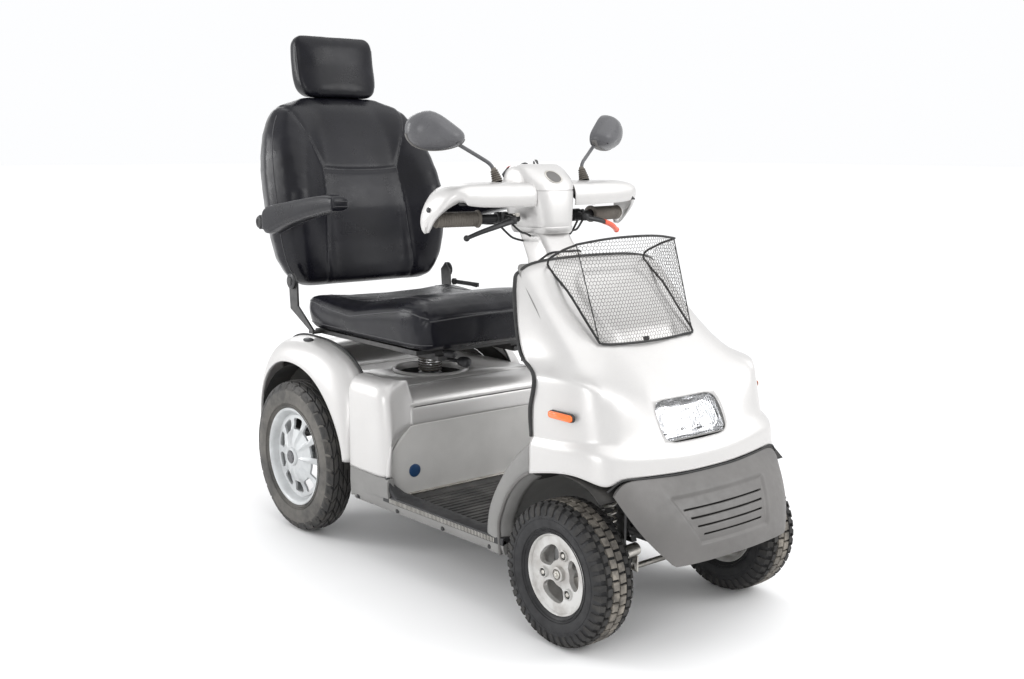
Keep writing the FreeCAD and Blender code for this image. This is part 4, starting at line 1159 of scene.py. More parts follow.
def rear_fenders():
    inner_x, outer_x = 247.0, 325.0
    for side, tag in SIDES:
        rows = []
        for (ty, tz), (ly, lz) in zip(FENDER_TOP, FENDER_LIP):
            row = []
            for share in (0, 0.2, 0.4, 0.6, 0.8, 1.0):
                turn = share * math.pi / 2
                x = inner_x + (outer_x - inner_x) * math.sin(turn) ** 0.85
                fall = 1 - math.cos(turn)
                row.append((x, mix(ty, ly, fall), mix(tz, lz, fall)))
            back = Vector((0, 462 - ly, 222 - lz)).normalized()
            row.append((outer_x - 1, ly + back.y * 3, lz + back.z * 3))
            row.append((outer_x - 8, ly + back.y * 4, lz + back.z * 4))
            rows.append(row)
        shell = Shape().grid(rows).flipped(side)
        shell.make(f"rear_fender_{tag}", "silver", subdivide=2, thick=3, replaces=["rear_fenders"])
        liner = Shape()
        arch = [(232, 215)] + arc((465, 228), 231, 176, 16, 16) + [(690, 250)]
        liner.grid([[(x, y, z) for y, z in arch] for x in (318, 280, 252)])
        hub_bay = [(690, 250), (530, 250), (530, 296), (395, 296), (395, 228), (232, 215)]
        liner.prism(arch[1:-1] + hub_bay, "X", 248, 251).flipped(side)
        liner.make(f"rear_arch_liner_{tag}", "liner", smooth=50)
        seam = Shape()
        line = [Vector((246, y, z - 1.5)) for y, z in FENDER_TOP[3:13]]
        seam.tube(curve_through(line, 4), 4.0, 8, flat=0.7).flipped(side)
        seam.make(f"fender_seam_{tag}", "seal")
        cap = Shape()
        oval = [(22 * math.cos(a), 11 * math.sin(a)) for a in (2 * math.pi * i / 28 for i in range(28))]
        cap.grid([[(276 + v * s, 480 + u * s, 528 - abs(276 + v * s - 247) * 0.14 + h) for u, v in oval]
                  for s, h in ((1.0, -2), (1.0, 2.0), (0.8, 4.0), (0.3, 4.8))], around=True, ends=True)
        cap.flipped(side).make(f"fender_cap_{tag}", "black")


def rear_end():
    """Rear valance with vents, round reflectors and two-part tail lamps."""
    rows = []
    for y, z in ((668, 474), (682, 462), (692, 440), (698, 405), (699, 360), (696, 310), (688, 262),
                 (672, 226), (655, 205)):
        rows.append([(246 * t, y - 12 * abs(t) ** 5, z)
                     for t in (-1, -0.9, -0.7, -0.35, 0, 0.35, 0.7, 0.9, 1)])
    shell = Shape().grid(rows).make("rear_valance", "grey", subdivide=3, thick=3, replaces=["rear_panel"])
    apply_modifiers(shell)
    slots = Shape()
    for i in range(5):
        z = 262 + i * 13
        outline = [(62 * math.copysign(1, u) + u, z + v) for u, v in rounded_box_line(3, 3, 2.9, 4)]
        slots.prism(outline, "Y", 640, 720)
    cut_out(shell, slots)
    dark = Shape().box((-80, 668, 250), (80, 672, 326))
    dark.make("rear_vent_screen", "liner", bevel=1)
    low, high = low_high("tail_lamps")
    for side, tag in SIDES:
        z = (low.z + high.z) / 2
        for name, look, x0, x1 in (("tail_lamp", "red", 188, 230), ("rear_indicator", "amber", 150, 186)):
            lens = Shape()
            half = (x1 - x0) / 2
            outline = rounded_box_line(half, (high.z - low.z) / 2, 8, 5)
            lens.grid([[((x0 + x1) / 2 + u * s, y, z + v * s) for u, v in outline]
                       for y, s in ((694, 1.0), (704, 1.0), (708, 0.93), (709.5, 0.6))], around=True,
                      ends=True)
            lens.flipped(side)
            lens.make(f"{name}_{tag}", look, smooth=40, replaces=["tail_lamps"] if look == "red" else [])
        seal = Shape()
        seal.tube([(190 + u, 698, z + v) for u, v in rounded_box_line(43, 38, 10, 5)], 2.2, 8, closed=True)
        seal.flipped(side).make(f"tail_lamp_seal_{tag}", "seal")
        reflector = Shape().turned([(0, 0.1), (0, 22), (3, 22), (5, 20), (6, 0.1)], (side * 120, 692, 232),
                                   (0, 1, 0), 36, closed=False)
        reflector.make(f"rear_reflector_{tag}", "red")


def rear_axle_cover():
    """Finned cover over the motor end of the rear axle, seen under the body."""
    fins = Shape()
    for i in range(7):
        x = -60 + i * 20
        fins.turned([(-2, 46), (-2, 58), (2, 58), (2, 46)], (x, REAR["y"], REAR["z"]), (1, 0, 0), 32)
    fins.make("motor_fins", "zinc", "rear_axle", smooth=30)


def leg_shroud():
    """Grey inner face of the cowl on the rider's side, from the console down to the deck."""
    line = [(-350, 793), (-392, 752), (-440, 700), (-478, 652), (-505, 600), (-518, 550), (-520, 500),
            (-514, 450), (-500, 400), (-474, 362), (-440, 332), (-404, 296), (-374, 258), (-358, 218),
            (-350, 178)]
    rows = []
    for y, z in line:
        half = mix(236, 226, smoothstep((z - 560) / 200)) if z > 336 else 280
        if z > 770:
            half = 214
        rows.append([(half * t, y + 14 * abs(t) ** 3, z)
                     for t in (-1, -0.92, -0.75, -0.4, -0.15, 0.15, 0.4, 0.75, 0.92, 1)])
    Shape().grid(rows).make("leg_shroud_shell", "pale", subdivide=2, thick=3, replaces=["leg_shroud"])


# ---------------------------------------------------------------- wheels
# Half sections of the tyres, (across, radius), from the bead up to the middle of the crown
FRONT_SECTION = [(37, 88), (41, 93), (46, 104), (48.5, 116), (48.5, 128), (47, 139), (43.5, 147),
                 (34, 150.3), (18, 151.6), (0, 152)]
REAR_SECTION = [(31, 133), (35, 139), (39.5, 152), (40.5, 166), (39.5, 180), (36, 192), (31, 198.5),
                (20, 202.5), (8, 203.8), (0, 204)]
# Rows of tread: (across from, across to, blocks round, filled share, skew, phase, height, look)
FRONT_TREAD = [(-46, -35, 42, 0.60, 0.05, 0.0, 5.2, "tyre"),
               (-33, -20.5, 42, 0.70, -0.06, 0.5, 6.0, "tyre"),
               (-18.5, -1.2, 42, 0.80, 0.04, 0.0, 6.0, "tread"),
               (1.2, 18.5, 42, 0.80, -0.04, 0.5, 6.0, "tread"),
               (20.5, 33, 42, 0.70, 0.06, 0.0, 6.0, "tyre"),
               (35, 46, 42, 0.60, -0.05, 0.5, 5.2, "tyre")]
REAR_TREAD = [(-38.5, -28, 30, 0.84, 0.20, 0.0, 4.4, "tread_dark"),
              (-25, -14.5, 30, 0.80, -0.50, 0.35, 4.5, "tread_dark"),
              (-11.5, -1.6, 30, 0.82, 0.46, 0.0, 4.5, "tread_dark"),
              (1.6, 11.5, 30, 0.82, 0.46, 0.5, 4.5, "tread_dark"),
              (14.5, 25, 30, 0.80, -0.50, 0.15, 4.5, "tread_dark"),
              (28, 38.5, 30, 0.84, 0.20, 0.4, 4.4, "tread_dark")]
# Side lugs: (inner radius, outer radius, across, proud, lugs round)
FRONT_LUGS = (128, 150, 46.2, 4.6, 42)
REAR_LUGS = (188, 200, 36.0, 2.0, 32)


def crown_radius(section, u):
    """Radius of the bare crown at distance u from the middle."""
    u = abs(u)
    for (a0, r0), (a1, r1) in zip(section, section[1:]):
        if a1 <= u <= a0:
            return mix(r0, r1, (a0 - u) / max(a0 - a1, 1e-6))
    return section[-1][1]


def tread_block(centre, section, u0, u1, start, sweep, skew, height):
    """Rings of one tread block, which leans round the wheel by skew across its width."""
    grid = []
    for h, inset in ((-1.5, 0.0), (height - 0.8, 0.35), (height, 0.9)):
        ring = []
        shorten = inset / 150
        for share, a in ((0, 0), (0.5, 0), (1, 0), (1, 0.5), (1, 1), (0.5, 1), (0, 1), (0, 0.5)):
            u = mix(u0 + inset, u1 - inset, share)
            angle = start + sweep * a + skew * share + shorten * (1 - 2 * a)
            radius = crown_radius(section, u) + h
            ring.append(centre + Vector((u, radius * math.cos(angle), radius * math.sin(angle))))
        grid.append(ring)
    return grid


def tyre(kind, wheel, side, tag, section, tread, lugs, wall):
    """Carcass turned from its section, rows of tread blocks, side lugs and bead rings."""
    body = f"{kind}_wheel_{tag}"
    centre = Vector((side * wheel["x"], wheel["y"], wheel["z"]))
    profile = section + [(-a, r) for a, r in section[-2::-1]]
    inner = [(a * 0.84, r - 4 if r > section[2][1] else r) for a, r in profile[::-1]]
    shape = Shape().turned(profile + inner, centre, steps=96)
    carcass = shape.make(f"{kind}_tyre_carcass_{tag}", wall, body, smooth=60,
                         replaces=[f"{kind}_tyre_{tag}"])
    # Crown faces between the blocks take the near-black groove rubber: painted shade in the grooves.
    carcass.data.materials.append(LOOK["groove"])
    shoulder = section[-4][1] - 3
    for face in carcass.data.polygons:
        middle = face.center / MM - centre
        if math.hypot(middle.y, middle.z) > shoulder:
            face.material_index = 1
    for look in sorted({row[-1] for row in tread}):
        blocks = Shape()
        for u0, u1, count, filled, skew, phase, height, _ in (row for row in tread if row[-1] == look):
            pitch = 2 * math.pi / count
            for i in range(count):
                blocks.grid(tread_block(centre, section, u0, u1, (i + phase) * pitch, filled * pitch,
                                        skew * pitch, height), around=True, ends=True)
        blocks.make(f"{kind}_tyre_{look}_blocks_{tag}", look, body, smooth=25)
    shoulder_lugs(kind, centre, tag, lugs, body)
    rings = Shape()
    for r0 in (section[0][1] + 7, section[0][1] + 13, mix(section[0][1], lugs[0], 0.86)):
        u = next(a for a, r in section if r >= r0)
        for s in (-1, 1):
            rings.turned([(s * (u - 1.2), r0 - 1.0), (s * (u + 0.7), r0), (s * (u - 1.2), r0 + 1.0)],
                         centre, steps=96)
    rings.make(f"{kind}_tyre_bead_rings_{tag}", wall, body, smooth=50)


def shoulder_lugs(kind, centre, tag, lugs, body):
    r0, r1, across, proud, count = lugs
    pitch = 2 * math.pi / count
    shape = Shape()
    for s in (-1, 1):
        for i in range(count):
            start = (i + (0.5 if s > 0 else 0.0)) * pitch
            rings = []
            for out, ease in ((-2.5, 0.0), (proud * 0.7, 0.05), (proud, 0.14)):
                ring = []
                for r, a in ((r0 + 3, 0.10), (r1, 0.04), (r1, 0.72), (r0 + 3, 0.66), (r0, 0.54),
                             (r0, 0.22)):
                    angle = start + pitch * mix(a, 0.38, ease)
                    lean = across - 4.5 * max(0.0, (r - r0) / (r1 - r0)) ** 2
                    radius = mix(r, (r0 + r1) / 2, ease)
                    ring.append(centre + Vector((s * (lean + out), radius * math.cos(angle),
                                                 radius * math.sin(angle))))
                rings.append(ring)
            shape.grid(rings, around=True, ends=True)
    shape.make(f"{kind}_tyre_lugs_{tag}", "tyre", body, smooth=25)


def tyres():
    for side, tag in SIDES:
        tyre("front", FRONT, side, tag, FRONT_SECTION, FRONT_TREAD, FRONT_LUGS, "sidewall_clean")
        tyre("rear", REAR, side, tag, REAR_SECTION, REAR_TREAD, REAR_LUGS, "sidewall")


def turned_face(centre, side, steps, radii, dish, wall, windows, window):
    """Wheel face of the given wall, turned and dished, with rounded windows cut right through it.
    windows are the angles of their middles; window is (mean radius, half depth, half width, corner)."""
    rows = []
    for back in (0, wall):
        for r in (radii if back == 0 else radii[::-1]):
            row = []
            for i in range(steps):
                a = 2 * math.pi * i / steps
                row.append(centre + Vector((side * (dish(r, a) - back), -r * math.cos(a), r * math.sin(a))))
            rows.append(row)
    rows.append(rows[0])
    cutter = Shape()
    middle, half_r, half_a, corner = window
    for turn in windows:
        outline = []
        flat = rounded_box_line(half_r, half_a, corner, 5)
        for (u0, v0), (u1, v1) in zip(flat, flat[1:] + flat[:1]):
            pieces = max(1, round(math.hypot(u1 - u0, v1 - v0) / 4))
            for k in range(pieces):
                r, a = middle + mix(u0, u1, k / pieces), turn + mix(v0, v1, k / pieces) / middle
                outline.append((centre.y - r * math.cos(a), centre.z + r * math.sin(a)))
        ends = sorted((centre.x - side * 40, centre.x + side * 60))
        cutter.prism(outline, "X", *ends)
    return Shape().grid(rows, around=True), cutter


def hexagon_nut(shape, spot, side, radius, stations):
    """Hexagonal head; stations are (outboard, share of the radius)."""
    corners = [(radius * math.cos(a), radius * math.sin(a)) for a in (math.pi / 3 * k for k in range(6))]
    shape.grid([[spot + Vector((side * out, u * s, v * s)) for u, v in corners] for out, s in stations],
               around=True, ends=True)


def front_rims():
    """Cast front wheels: broad flat rim, three kidney openings, three bolt pockets and the axle nut."""
    openings = [math.radians(10 + 120 * k) for k in range(3)]
    pockets_at = [math.radians(70 + 120 * k) for k in range(3)]

    def dish(r, a):
        return mix(23, 31, smoothstep((r - 24) / 52)) + 3.0 * math.exp(-((r - 20) / 6) ** 2)

    for side, tag in SIDES:
        centre = Vector((side * FRONT["x"], FRONT["y"], FRONT["z"]))
        body = f"front_wheel_{tag}"
        profile = [(30, 88.6), (34.5, 90.5), (37, 89.6), (37.6, 87), (36, 85), (31.5, 83.5), (27, 81),
                   (20, 78), (0, 76), (-26, 77), (-34, 82), (-38, 87), (-37, 90.5), (-31, 89), (-26, 82),
                   (0, 80), (24, 83)]
        lip = Shape().turned([(side * a, r) for a, r in profile], centre, steps=72)
        lip.make(f"front_rim_barrel_{tag}", "alloy", body, smooth=40, replaces=[f"front_rim_{tag}"])
        disc, cutter = turned_face(centre, side, 72, [14, 18, 22, 28, 38, 48, 58, 66, 74, 84.5], dish, 12,
                                   openings, (47, 17.5, 31, 15))
        face = disc.make(f"front_rim_spokes_{tag}", "alloy", body)
        cut_out(face, cutter)
        face.data.set_sharp_from_angle(angle=math.radians(35))
        hub = Shape().turned([(side * a, r)
                              for a, r in ((-30, 17), (26, 17), (33, 16), (34, 14.5), (34, 12.5),
                                           (29, 11.5), (29, 0.1), (-30, 0.1))], centre, steps=40,
                             closed=False)
        hub.make(f"front_hub_{tag}", "alloy", body)
        bolts = Shape()
        hexagon_nut(bolts, centre, side, 9.6, ((24, 1), (34, 1), (35.5, 0.85)))
        bolts.rod(centre + Vector((side * 26, 0, 0)), centre + Vector((side * 38.5, 0, 0)), 4.2, sides=14,
                  round_edge=1)
        pockets, floors = Shape(), Shape()
        for a in pockets_at:
            spot = centre + Vector((0, -48 * math.cos(a), 48 * math.sin(a)))
            pockets.turned([(side * o, r)
                            for o, r in ((16, 12.5), (30, 12.5), (32.5, 11.6), (33, 10.4), (32, 9.4),
                                         (28, 9), (16, 9))], spot, steps=28)
            floors.turned([(side * o, r) for o, r in ((27.0, 0.1), (29.2, 9.6), (26, 9.6))], spot, steps=24,
                          closed=False)
            hexagon_nut(bolts, spot, side, 5.2, ((24, 1), (31, 1), (32, 0.8)))
        pockets.make(f"front_bolt_pockets_{tag}", "alloy", body, smooth=40)
        floors.make(f"front_pocket_floors_{tag}", "liner", body, "wheel_alloy", smooth=40)
        bolts.make(f"front_wheel_bolts_{tag}", "zinc", body, "wheel_alloy", smooth=30)


def rear_rims():
    """Deep rear wheels: stepped barrel, ten windows round a ribbed conical hub, grey cap."""
    count = 10
    windows = [2 * math.pi * (k + 0.5) / count for k in range(count)]

    def dish(r, a):
        cone = mix(16, 36, smoothstep((96 - r) / 76))
        rib = 6.5 * max(0.0, math.cos(count * a)) ** 3
        return cone + rib * smoothstep((96 - r) / 20) * smoothstep((r - 30) / 18)

    for side, tag in SIDES:
        centre = Vector((side * REAR["x"], REAR["y"], REAR["z"]))
        body = f"rear_wheel_{tag}"
        profile = [(28, 134), (32, 136), (34.5, 134.5), (35, 131.5), (33.5, 128), (30, 125), (25, 122.5),
                   (20, 121), (14, 118), (12, 112), (-22, 112), (-30, 120), (-33, 130), (-34, 135),
                   (-30, 136), (-26, 128), (-18, 118), (4, 119), (12, 126), (20, 129)]
        lip = Shape().turned([(side * a, r) for a, r in profile], centre, steps=96)
        lip.make(f"rear_rim_barrel_{tag}", "rim_paint", body, smooth=40, replaces=[f"rear_rim_{tag}"])
        disc, cutter = turned_face(centre, side, 120, [20, 30, 42, 52, 62, 72, 82, 92, 102, 113.5], dish, 6,
                                   windows, (89, 15.5, 19.5, 6))
        face = disc.make(f"rear_rim_face_{tag}", "rim_paint", body)
        cut_out(face, cutter)
        face.data.set_sharp_from_angle(angle=math.radians(35))
        hub = Shape().turned([(side * a, r)
                              for a, r in ((-34, 24), (36, 26), (40, 24.5), (42, 22), (42, 19.5), (40, 18),
                                           (40, 0.1), (-34, 0.1))], centre, steps=48, closed=False)
        hub.make(f"rear_hub_{tag}", "rim_paint", body)
        cap = Shape().turned([(side * a, r)
                              for a, r in ((36, 17.4), (42, 17.4), (44, 15.8), (44.8, 10), (44.4, 5),
                                           (44.6, 0.1))], centre, steps=36, closed=False)
        cap.make(f"rear_hub_cap_{tag}", "mirror_shell", body, "wheel_alloy")


def drum_and_stub():
    """Front hub drum ends, and the bright cross stub with its drilled tab at the end of each front arm."""
    for side, tag in SIDES:
        drum = Shape()
        drum.turned([(0, 0.1), (0, 40), (6, 46), (24, 48), (30, 44), (30, 0.1)],
                    (side * (FRONT["x"] - 58), FRONT["y"], FRONT["z"]), (side, 0, 0), 48, closed=False)
        drum.make(f"front_hub_drum_{tag}", "zinc", f"front_wheel_{tag}", smooth=35)
        stub = Shape()
        stub.rod((side * 150, -596, 168), (side * 78, -596, 173), 14.5, sides=32, round_edge=1.5)
        stub.turned([(0, 8), (0, 14.9), (2.5, 14.9), (2.5, 8)], (side * 79.5, -596, 172.9), (-side, 0, 0),
                    32)
        tab = [(-610, 124), (-610, 160), (-582, 160), (-582, 124)]
        stub.prism(tab, "X", *sorted((side * 86, side * 90)))
        tube = stub.make(f"front_stub_tube_{tag}", "zinc", f"front_arm_{tag}", bevel=0.6)
        hole = Shape().rod((side * 70, -596, 138), (side * 100, -596, 138), 4.5, sides=20)
        cut_out(tube, hole)


def coil_springs():
    """Real coils in place of the plain spring cylinders."""
    for side, tag in SIDES:
        low, high = low_high(f"front_spring_{tag}")
        coil_spring(f"front_coil_{tag}", low, high, 6, [f"front_spring_{tag}"])
    low, high = low_high("rear_springs")
    for side, tag in SIDES:
        inner = high.x - 42 if side == LEFT else low.x
        part_low = Vector((inner, low.y, low.z))
        part_high = Vector((inner + 42, high.y, high.z))
        coil_spring(f"rear_coil_{tag}", part_low, part_high, 8,
                    ["rear_springs"] if side == RIGHT else [])


def coil_spring(name, low, high, turns, stands_for):
    middle = (low + high) / 2
    wire = 3.6
    radius = min(high.x - low.x, high.y - low.y) / 2 - wire
    bottom, top = low.z + wire, high.z - wire
    path = []
    steps = turns * 20
    for i in range(steps + 1):
        t = i / steps
        a = 2 * math.pi * turns * t
        rise = mix(bottom, top, smoothstep(t) * 0.12 + t * 0.88)
        path.append((middle.x + radius * math.cos(a), middle.y + radius * math.sin(a), rise))
    spring = Shape().tube(path, wire, 8)
    for z in (low.z, high.z - 3):
        spring.turned([(0, 4), (0, radius + 4), (3, radius + 4), (3, 4)], (middle.x, middle.y, z),
                      (0, 0, 1), 32)
    obj = spring.make(name, "zinc", None)
    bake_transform(obj)
    if stands_for:
        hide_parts(*stands_for)


# ---------------------------------------------------------------- tiller
def tiller_column():
    """Boxy raked column with a waist at each end, two long grooves down each face."""
    shape = Shape()
    rows = []
    levels = [(44, 44, 38), (50, 49, 43), (66, 51, 45), (104, 55, 49), (124, 58, 53), (150, 58.5, 53.5),
              (260, 57, 52.5), (380, 54.5, 51), (404, 53, 50), (424, 50, 47), (436, 48, 44),
              (470, 47, 42.5), (506, 46, 41)]
    for s, half_x, half_d in levels:
        row = []
        for u, v in rounded_box_line(half_x, half_d, 17, 5):
            groove = 0.0
            if 100 < s < 420:
                fade = smoothstep((s - 104) / 30) * smoothstep((404 - s) / 30)
                if abs(v) > half_d - 3:
                    groove = 2.6 * fade * math.exp(-((abs(u) - 24) / 5) ** 2)
                v = math.copysign(abs(v) - groove, v)
            row.append(steer_point(s, v, u))
        rows.append(row)
    shape.grid(rows, around=True, ends=True)
    body = shape.make("tiller_column_body", "silver", "tiller", smooth=50, replaces=["tiller_column"])
    step = body.modifiers.new("fine", "SUBSURF")
    step.subdivision_type = "SIMPLE"
    step.levels = step.render_levels = 1
    collar = Shape()
    for s, half_x, half_d, tall in ((119, 60, 55, 3.2), (408, 55.5, 52, 2.6)):
        rows = [[steer_point(s + t, v, u) for u, v in rounded_box_line(half_x - e, half_d - e, 18 - e, 5)]
                for t, e in ((-tall, 1.5), (-tall + 1.2, 0), (tall - 1.2, 0), (tall, 1.5))]
        collar.grid(rows, around=True, ends=True)
    collar.make("tiller_column_seams", "seal", "tiller", smooth=40)
    front = Shape()
    rows = []
    for s, half in ((140, 13), (150, 16), (280, 16), (372, 14), (384, 11)):
        depth = mix(53.5, 51, (s - 140) / 240)
        rows.append([steer_point(s, depth + lift, u) for u, lift in
                     ((-half, -1.5), (-half + 2, 1.2), (0, 1.9), (half - 2, 1.2), (half, -1.5))])
    front.grid(rows)
    front.make("tiller_front_rib", "silver", "tiller", smooth=60)
    screws = Shape()
    for s in (136, 396):
        for u in (-32, 32):
            at = steer_point(s, 52.0, u)
            out = steer_point(s, 60.0, u) - at
            screws.turned([(0, 4.6), (1.6, 4.6), (2.3, 3.6), (1.2, 2.4), (1.2, 0.1)], at, out, 20,
                          closed=False)
    screws.make("tiller_column_screws", "zinc", "tiller")


def tilt_bellows():
    """Rubber bellows across the tilt joint."""
    rows = []
    folds = 7
    steps = folds * 4
    for i in range(steps + 1):
        t = i / steps
        wave = 3.6 * math.cos(2 * math.pi * folds * t)
        half = mix(41, 44, t) + wave
        rows.append([steer_point(mix(-34, 50, t), v, u)
                     for u, v in rounded_box_line(half, half * 0.88, 18, 5)])
    shape = Shape().grid(rows, around=True, ends=True)
    bellows = shape.make("tilt_bellows", "grip", None, smooth=60)
    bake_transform(bellows)


# Instrument face: the way it looks, its upward edge and its middle
FACE_OUT = Vector((0, 0.614, 0.789))
FACE_UP = Vector((0, -0.789, 0.614))
FACE_MIDDLE = Vector((0, -114, 994))


def console():
    """Head of the tiller: rounded pod, domed instrument face, lower lip and blank badge."""
    levels = [(847, 44, -240, -120), (849, 50, -247, -112), (856, 54, -249, -107), (876, 58, -248, -99),
              (900, 62.5, -246, -92), (924, 67, -243.5, -88.5), (944, 70.5, -240, -87.5),
              (947.4, 71, -239.4, -87.6), (948.0, 69.4, -237.5, -89), (949.6, 69.4, -237.3, -89),
              (950.2, 71.6, -239, -87.6), (962, 73.5, -236, -89), (974, 74, -228, -92.5),
              (985, 73, -215, -98), (996, 70.5, -201, -107), (1004, 66, -188, -118), (1009, 58, -178, -130),
              (1010.2, 46, -172, -138)]
    rows = [super_ring(half_x, y_front, y_back, z, 3.6, 48) for z, half_x, y_front, y_back in levels]
    shape = Shape().grid(rows, around=True, ends=True)
    body = shape.make("console_pod", "silver", "tiller", smooth=28, replaces=["console"])
    tree = skin_tree(body)

    lip = Shape()
    lip_levels = [(846.5, 40, -236, -124), (846.2, 51, -246, -110), (852, 55, -250, -106),
                  (861, 56.5, -250.4, -103.5), (863, 55.4, -249, -104.6)]
    rows = [super_ring(half_x, y_front, y_back, z, 3.6, 48) for z, half_x, y_front, y_back in lip_levels]
    lip.grid(rows, around=True, ends=True)
    lip.make("console_bottom_lip", "silver", "tiller")

    out, up, middle = FACE_OUT, FACE_UP, FACE_MIDDLE
    face = Shape()
    rows = []
    for grow, lift in ((0, -7), (0, -0.6), (-0.8, 0.3), (-2.4, 0.5)):
        rows.append([middle + Vector((u, 0, 0)) + up * v + out * lift
                     for u, v in rounded_box_line(66 + grow, 20 + grow, 12, 5)])
    face.grid(rows, around=True, ends=True)
    face.make("console_face", "black", "tiller")
    marks = Shape()
    for i in range(11):
        a = math.radians(mix(-135, 135, i / 10))
        at = middle + Vector((19.8 * math.sin(a), 0, 0)) + up * 19.8 * math.cos(a) * 0.86 + out * 0.5
        marks.turned([(0, 0.9), (0.35, 0.9), (0.35, 0.05)], at, out, 10, closed=False)
    for i in range(5):
        at = middle + Vector((-28 - i * 3.2, 0, 0)) + up * 13.5 + out * 0.5
        marks.turned([(0, 1.1), (0.5, 1.0), (0.6, 0.05)], at, out, 10, closed=False)
    marks.make("console_face_marks", "pale", "tiller", "silver_paint")

    ring_line = [(24 * math.cos(a), 15 * math.sin(a)) for a in (2 * math.pi * k / 40 for k in range(40))]
    rim = ((1.0, -0.6), (1.0, 1.4), (0.93, 2.1), (0.86, 1.6), (0.84, 0.4))
    plate = ((0.85, -0.4), (0.85, 0.9), (0.6, 1.5), (0.2, 1.7))
    for name, look, stations in (("rim", "zinc", rim), ("plate", "grey", plate)):
        badge = Shape()
        badge.grid([[onto(tree, (u * scale, -400, 981 + v * scale), (0, 1, 0), lift) for u, v in ring_line]
                    for scale, lift in stations], around=True, ends=name == "plate")
        badge.make(f"console_badge_{name}", look, "tiller", "grey_plastic")


def dashboard_parts():
    """Knurled dial with a pointer, key with a ring, horn button with a bezel."""
    out, up = FACE_OUT, FACE_UP
    middle = FACE_MIDDLE + out * 0.7
    dial = Shape()
    rows = []
    for along, radius, wave in ((0.4, 16.6, 0), (2.5, 16.6, 0), (3.2, 14.2, 0.5), (13, 13.2, 0.5),
                                (14.6, 12.0, 0.3), (15.0, 8, 0)):
        rows.append([middle + out * along + Vector(((radius + wave * math.cos(18 * a)) * math.cos(a), 0, 0))
                     + up * ((radius + wave * math.cos(18 * a)) * math.sin(a))
                     for a in (2 * math.pi * k / 108 for k in range(108))])
    dial.grid(rows, around=True, ends=True)
    dial.make("speed_dial_knob", "black", "speed_dial", smooth=25, replaces=["speed_dial"])
    pointer = Shape()
    pointer.tube([middle + out * 15.2 + up * 3, middle + out * 15.2 + up * 11], 0.8, 8)
    pointer.make("speed_dial_pointer", "pale", "speed_dial", "silver_paint")

    key = middle + Vector((46, 0, 0))
    lock = Shape().turned([(0, 10), (1.6, 10), (2.2, 9), (2.2, 6.8), (0, 6.8)], key - out * 0.6, out, 32)
    lock.make("key_lock_bezel", "chrome", "tiller")
    blade = Shape()
    blade.turned([(0.4, 5.6), (10, 5.6), (11, 4.8), (11, 0.1)], key, out, 28, closed=False)
    bow = arc((21.5, 0), 8.6, 15, 345, 24)
    outline = [(10.5, -4.5)] + [(a, c) for a, c in bow if a > 12][::-1] + [(10.5, 4.5)]
    rows = [[key + Vector((w, 0, 0)) + out * a + up * c for a, c in outline] for w in (-1.8, 1.8)]
    blade.grid(rows, around=True, ends=True)
    blade.make("ignition_key_bow", "steel", "ignition_key", bevel=0.5, replaces=["ignition_key"])
    horn = middle + Vector((-46, 0, 0))
    bezel = Shape().turned([(0, 12.5), (1.6, 12.5), (2.4, 11.5), (2.4, 9.6), (0, 9.6)], horn - out * 0.6,
                           out, 36)
    bezel.make("horn_bezel", "gloss_black", "tiller")
    button = Shape().turned([(3.0, 8.9), (7.0, 8.9), (8.4, 8.0), (9.0, 5.6), (8.8, 3), (9.1, 0.1)],
                            horn, out, 36, closed=False)
    button.make("horn_button_cap", "red", "horn_button", replaces=["horn_button"])


# Spine of the left hand guard: (point, width, depth of the front lip, depth of the rear lip)
GUARD_SPINE = [((62, -177, 967), 104, 55, 24), ((110, -177, 968), 105, 56, 24),
               ((160, -176, 968), 105, 55, 24), ((215, -174, 967.5), 105, 53, 23),
               ((250, -172, 966), 104, 49, 21), ((278, -171, 960), 100, 42, 17),
               ((295, -167, 947), 92, 32, 12), ((307, -158, 927), 80, 22, 8),
               ((314.5, -146, 904), 66, 14, 7), ((316.5, -134, 882), 48, 10, 6),
               ((313, -126, 862), 30, 8, 5), ((309, -124, 854), 16, 5, 4)]


def guard_rows():
    """Rows of the guard's skin from front lip to rear lip, following the spine round into its end tongue."""
    points = curve_through([p for p, _, _, _ in GUARD_SPINE], 4)
    sizes = curve_through([size for _, *size in GUARD_SPINE], 4)
    rows = []
    for i, (p, (wide, front, rear)) in enumerate(zip(points, sizes)):
        along = (points[min(i + 1, len(points) - 1)] - points[max(i - 1, 0)]).normalized()
        across = Vector((0, -1, 0))
        up = across.cross(along).normalized()
        h = wide / 2
        section = [(h + 1, -front), (h + 3.5, -front * 0.72), (h + 2.5, -front * 0.42),
                   (h - 2, -front * 0.2), (h - 9, -front * 0.08), (h * 0.55, 0), (0, 2.5), (-h * 0.5, 1),
                   (-h * 0.8, -rear * 0.14), (-h + 1, -rear * 0.45), (-h - 1, -rear)]
        seam = 1.4 if 121 < p.x < 125 else 0.0
        rows.append([p + across * q.x + up * (q.y - seam)
                     for q in curve_through([(a, n, 0) for a, n in section], 2)])
    return rows


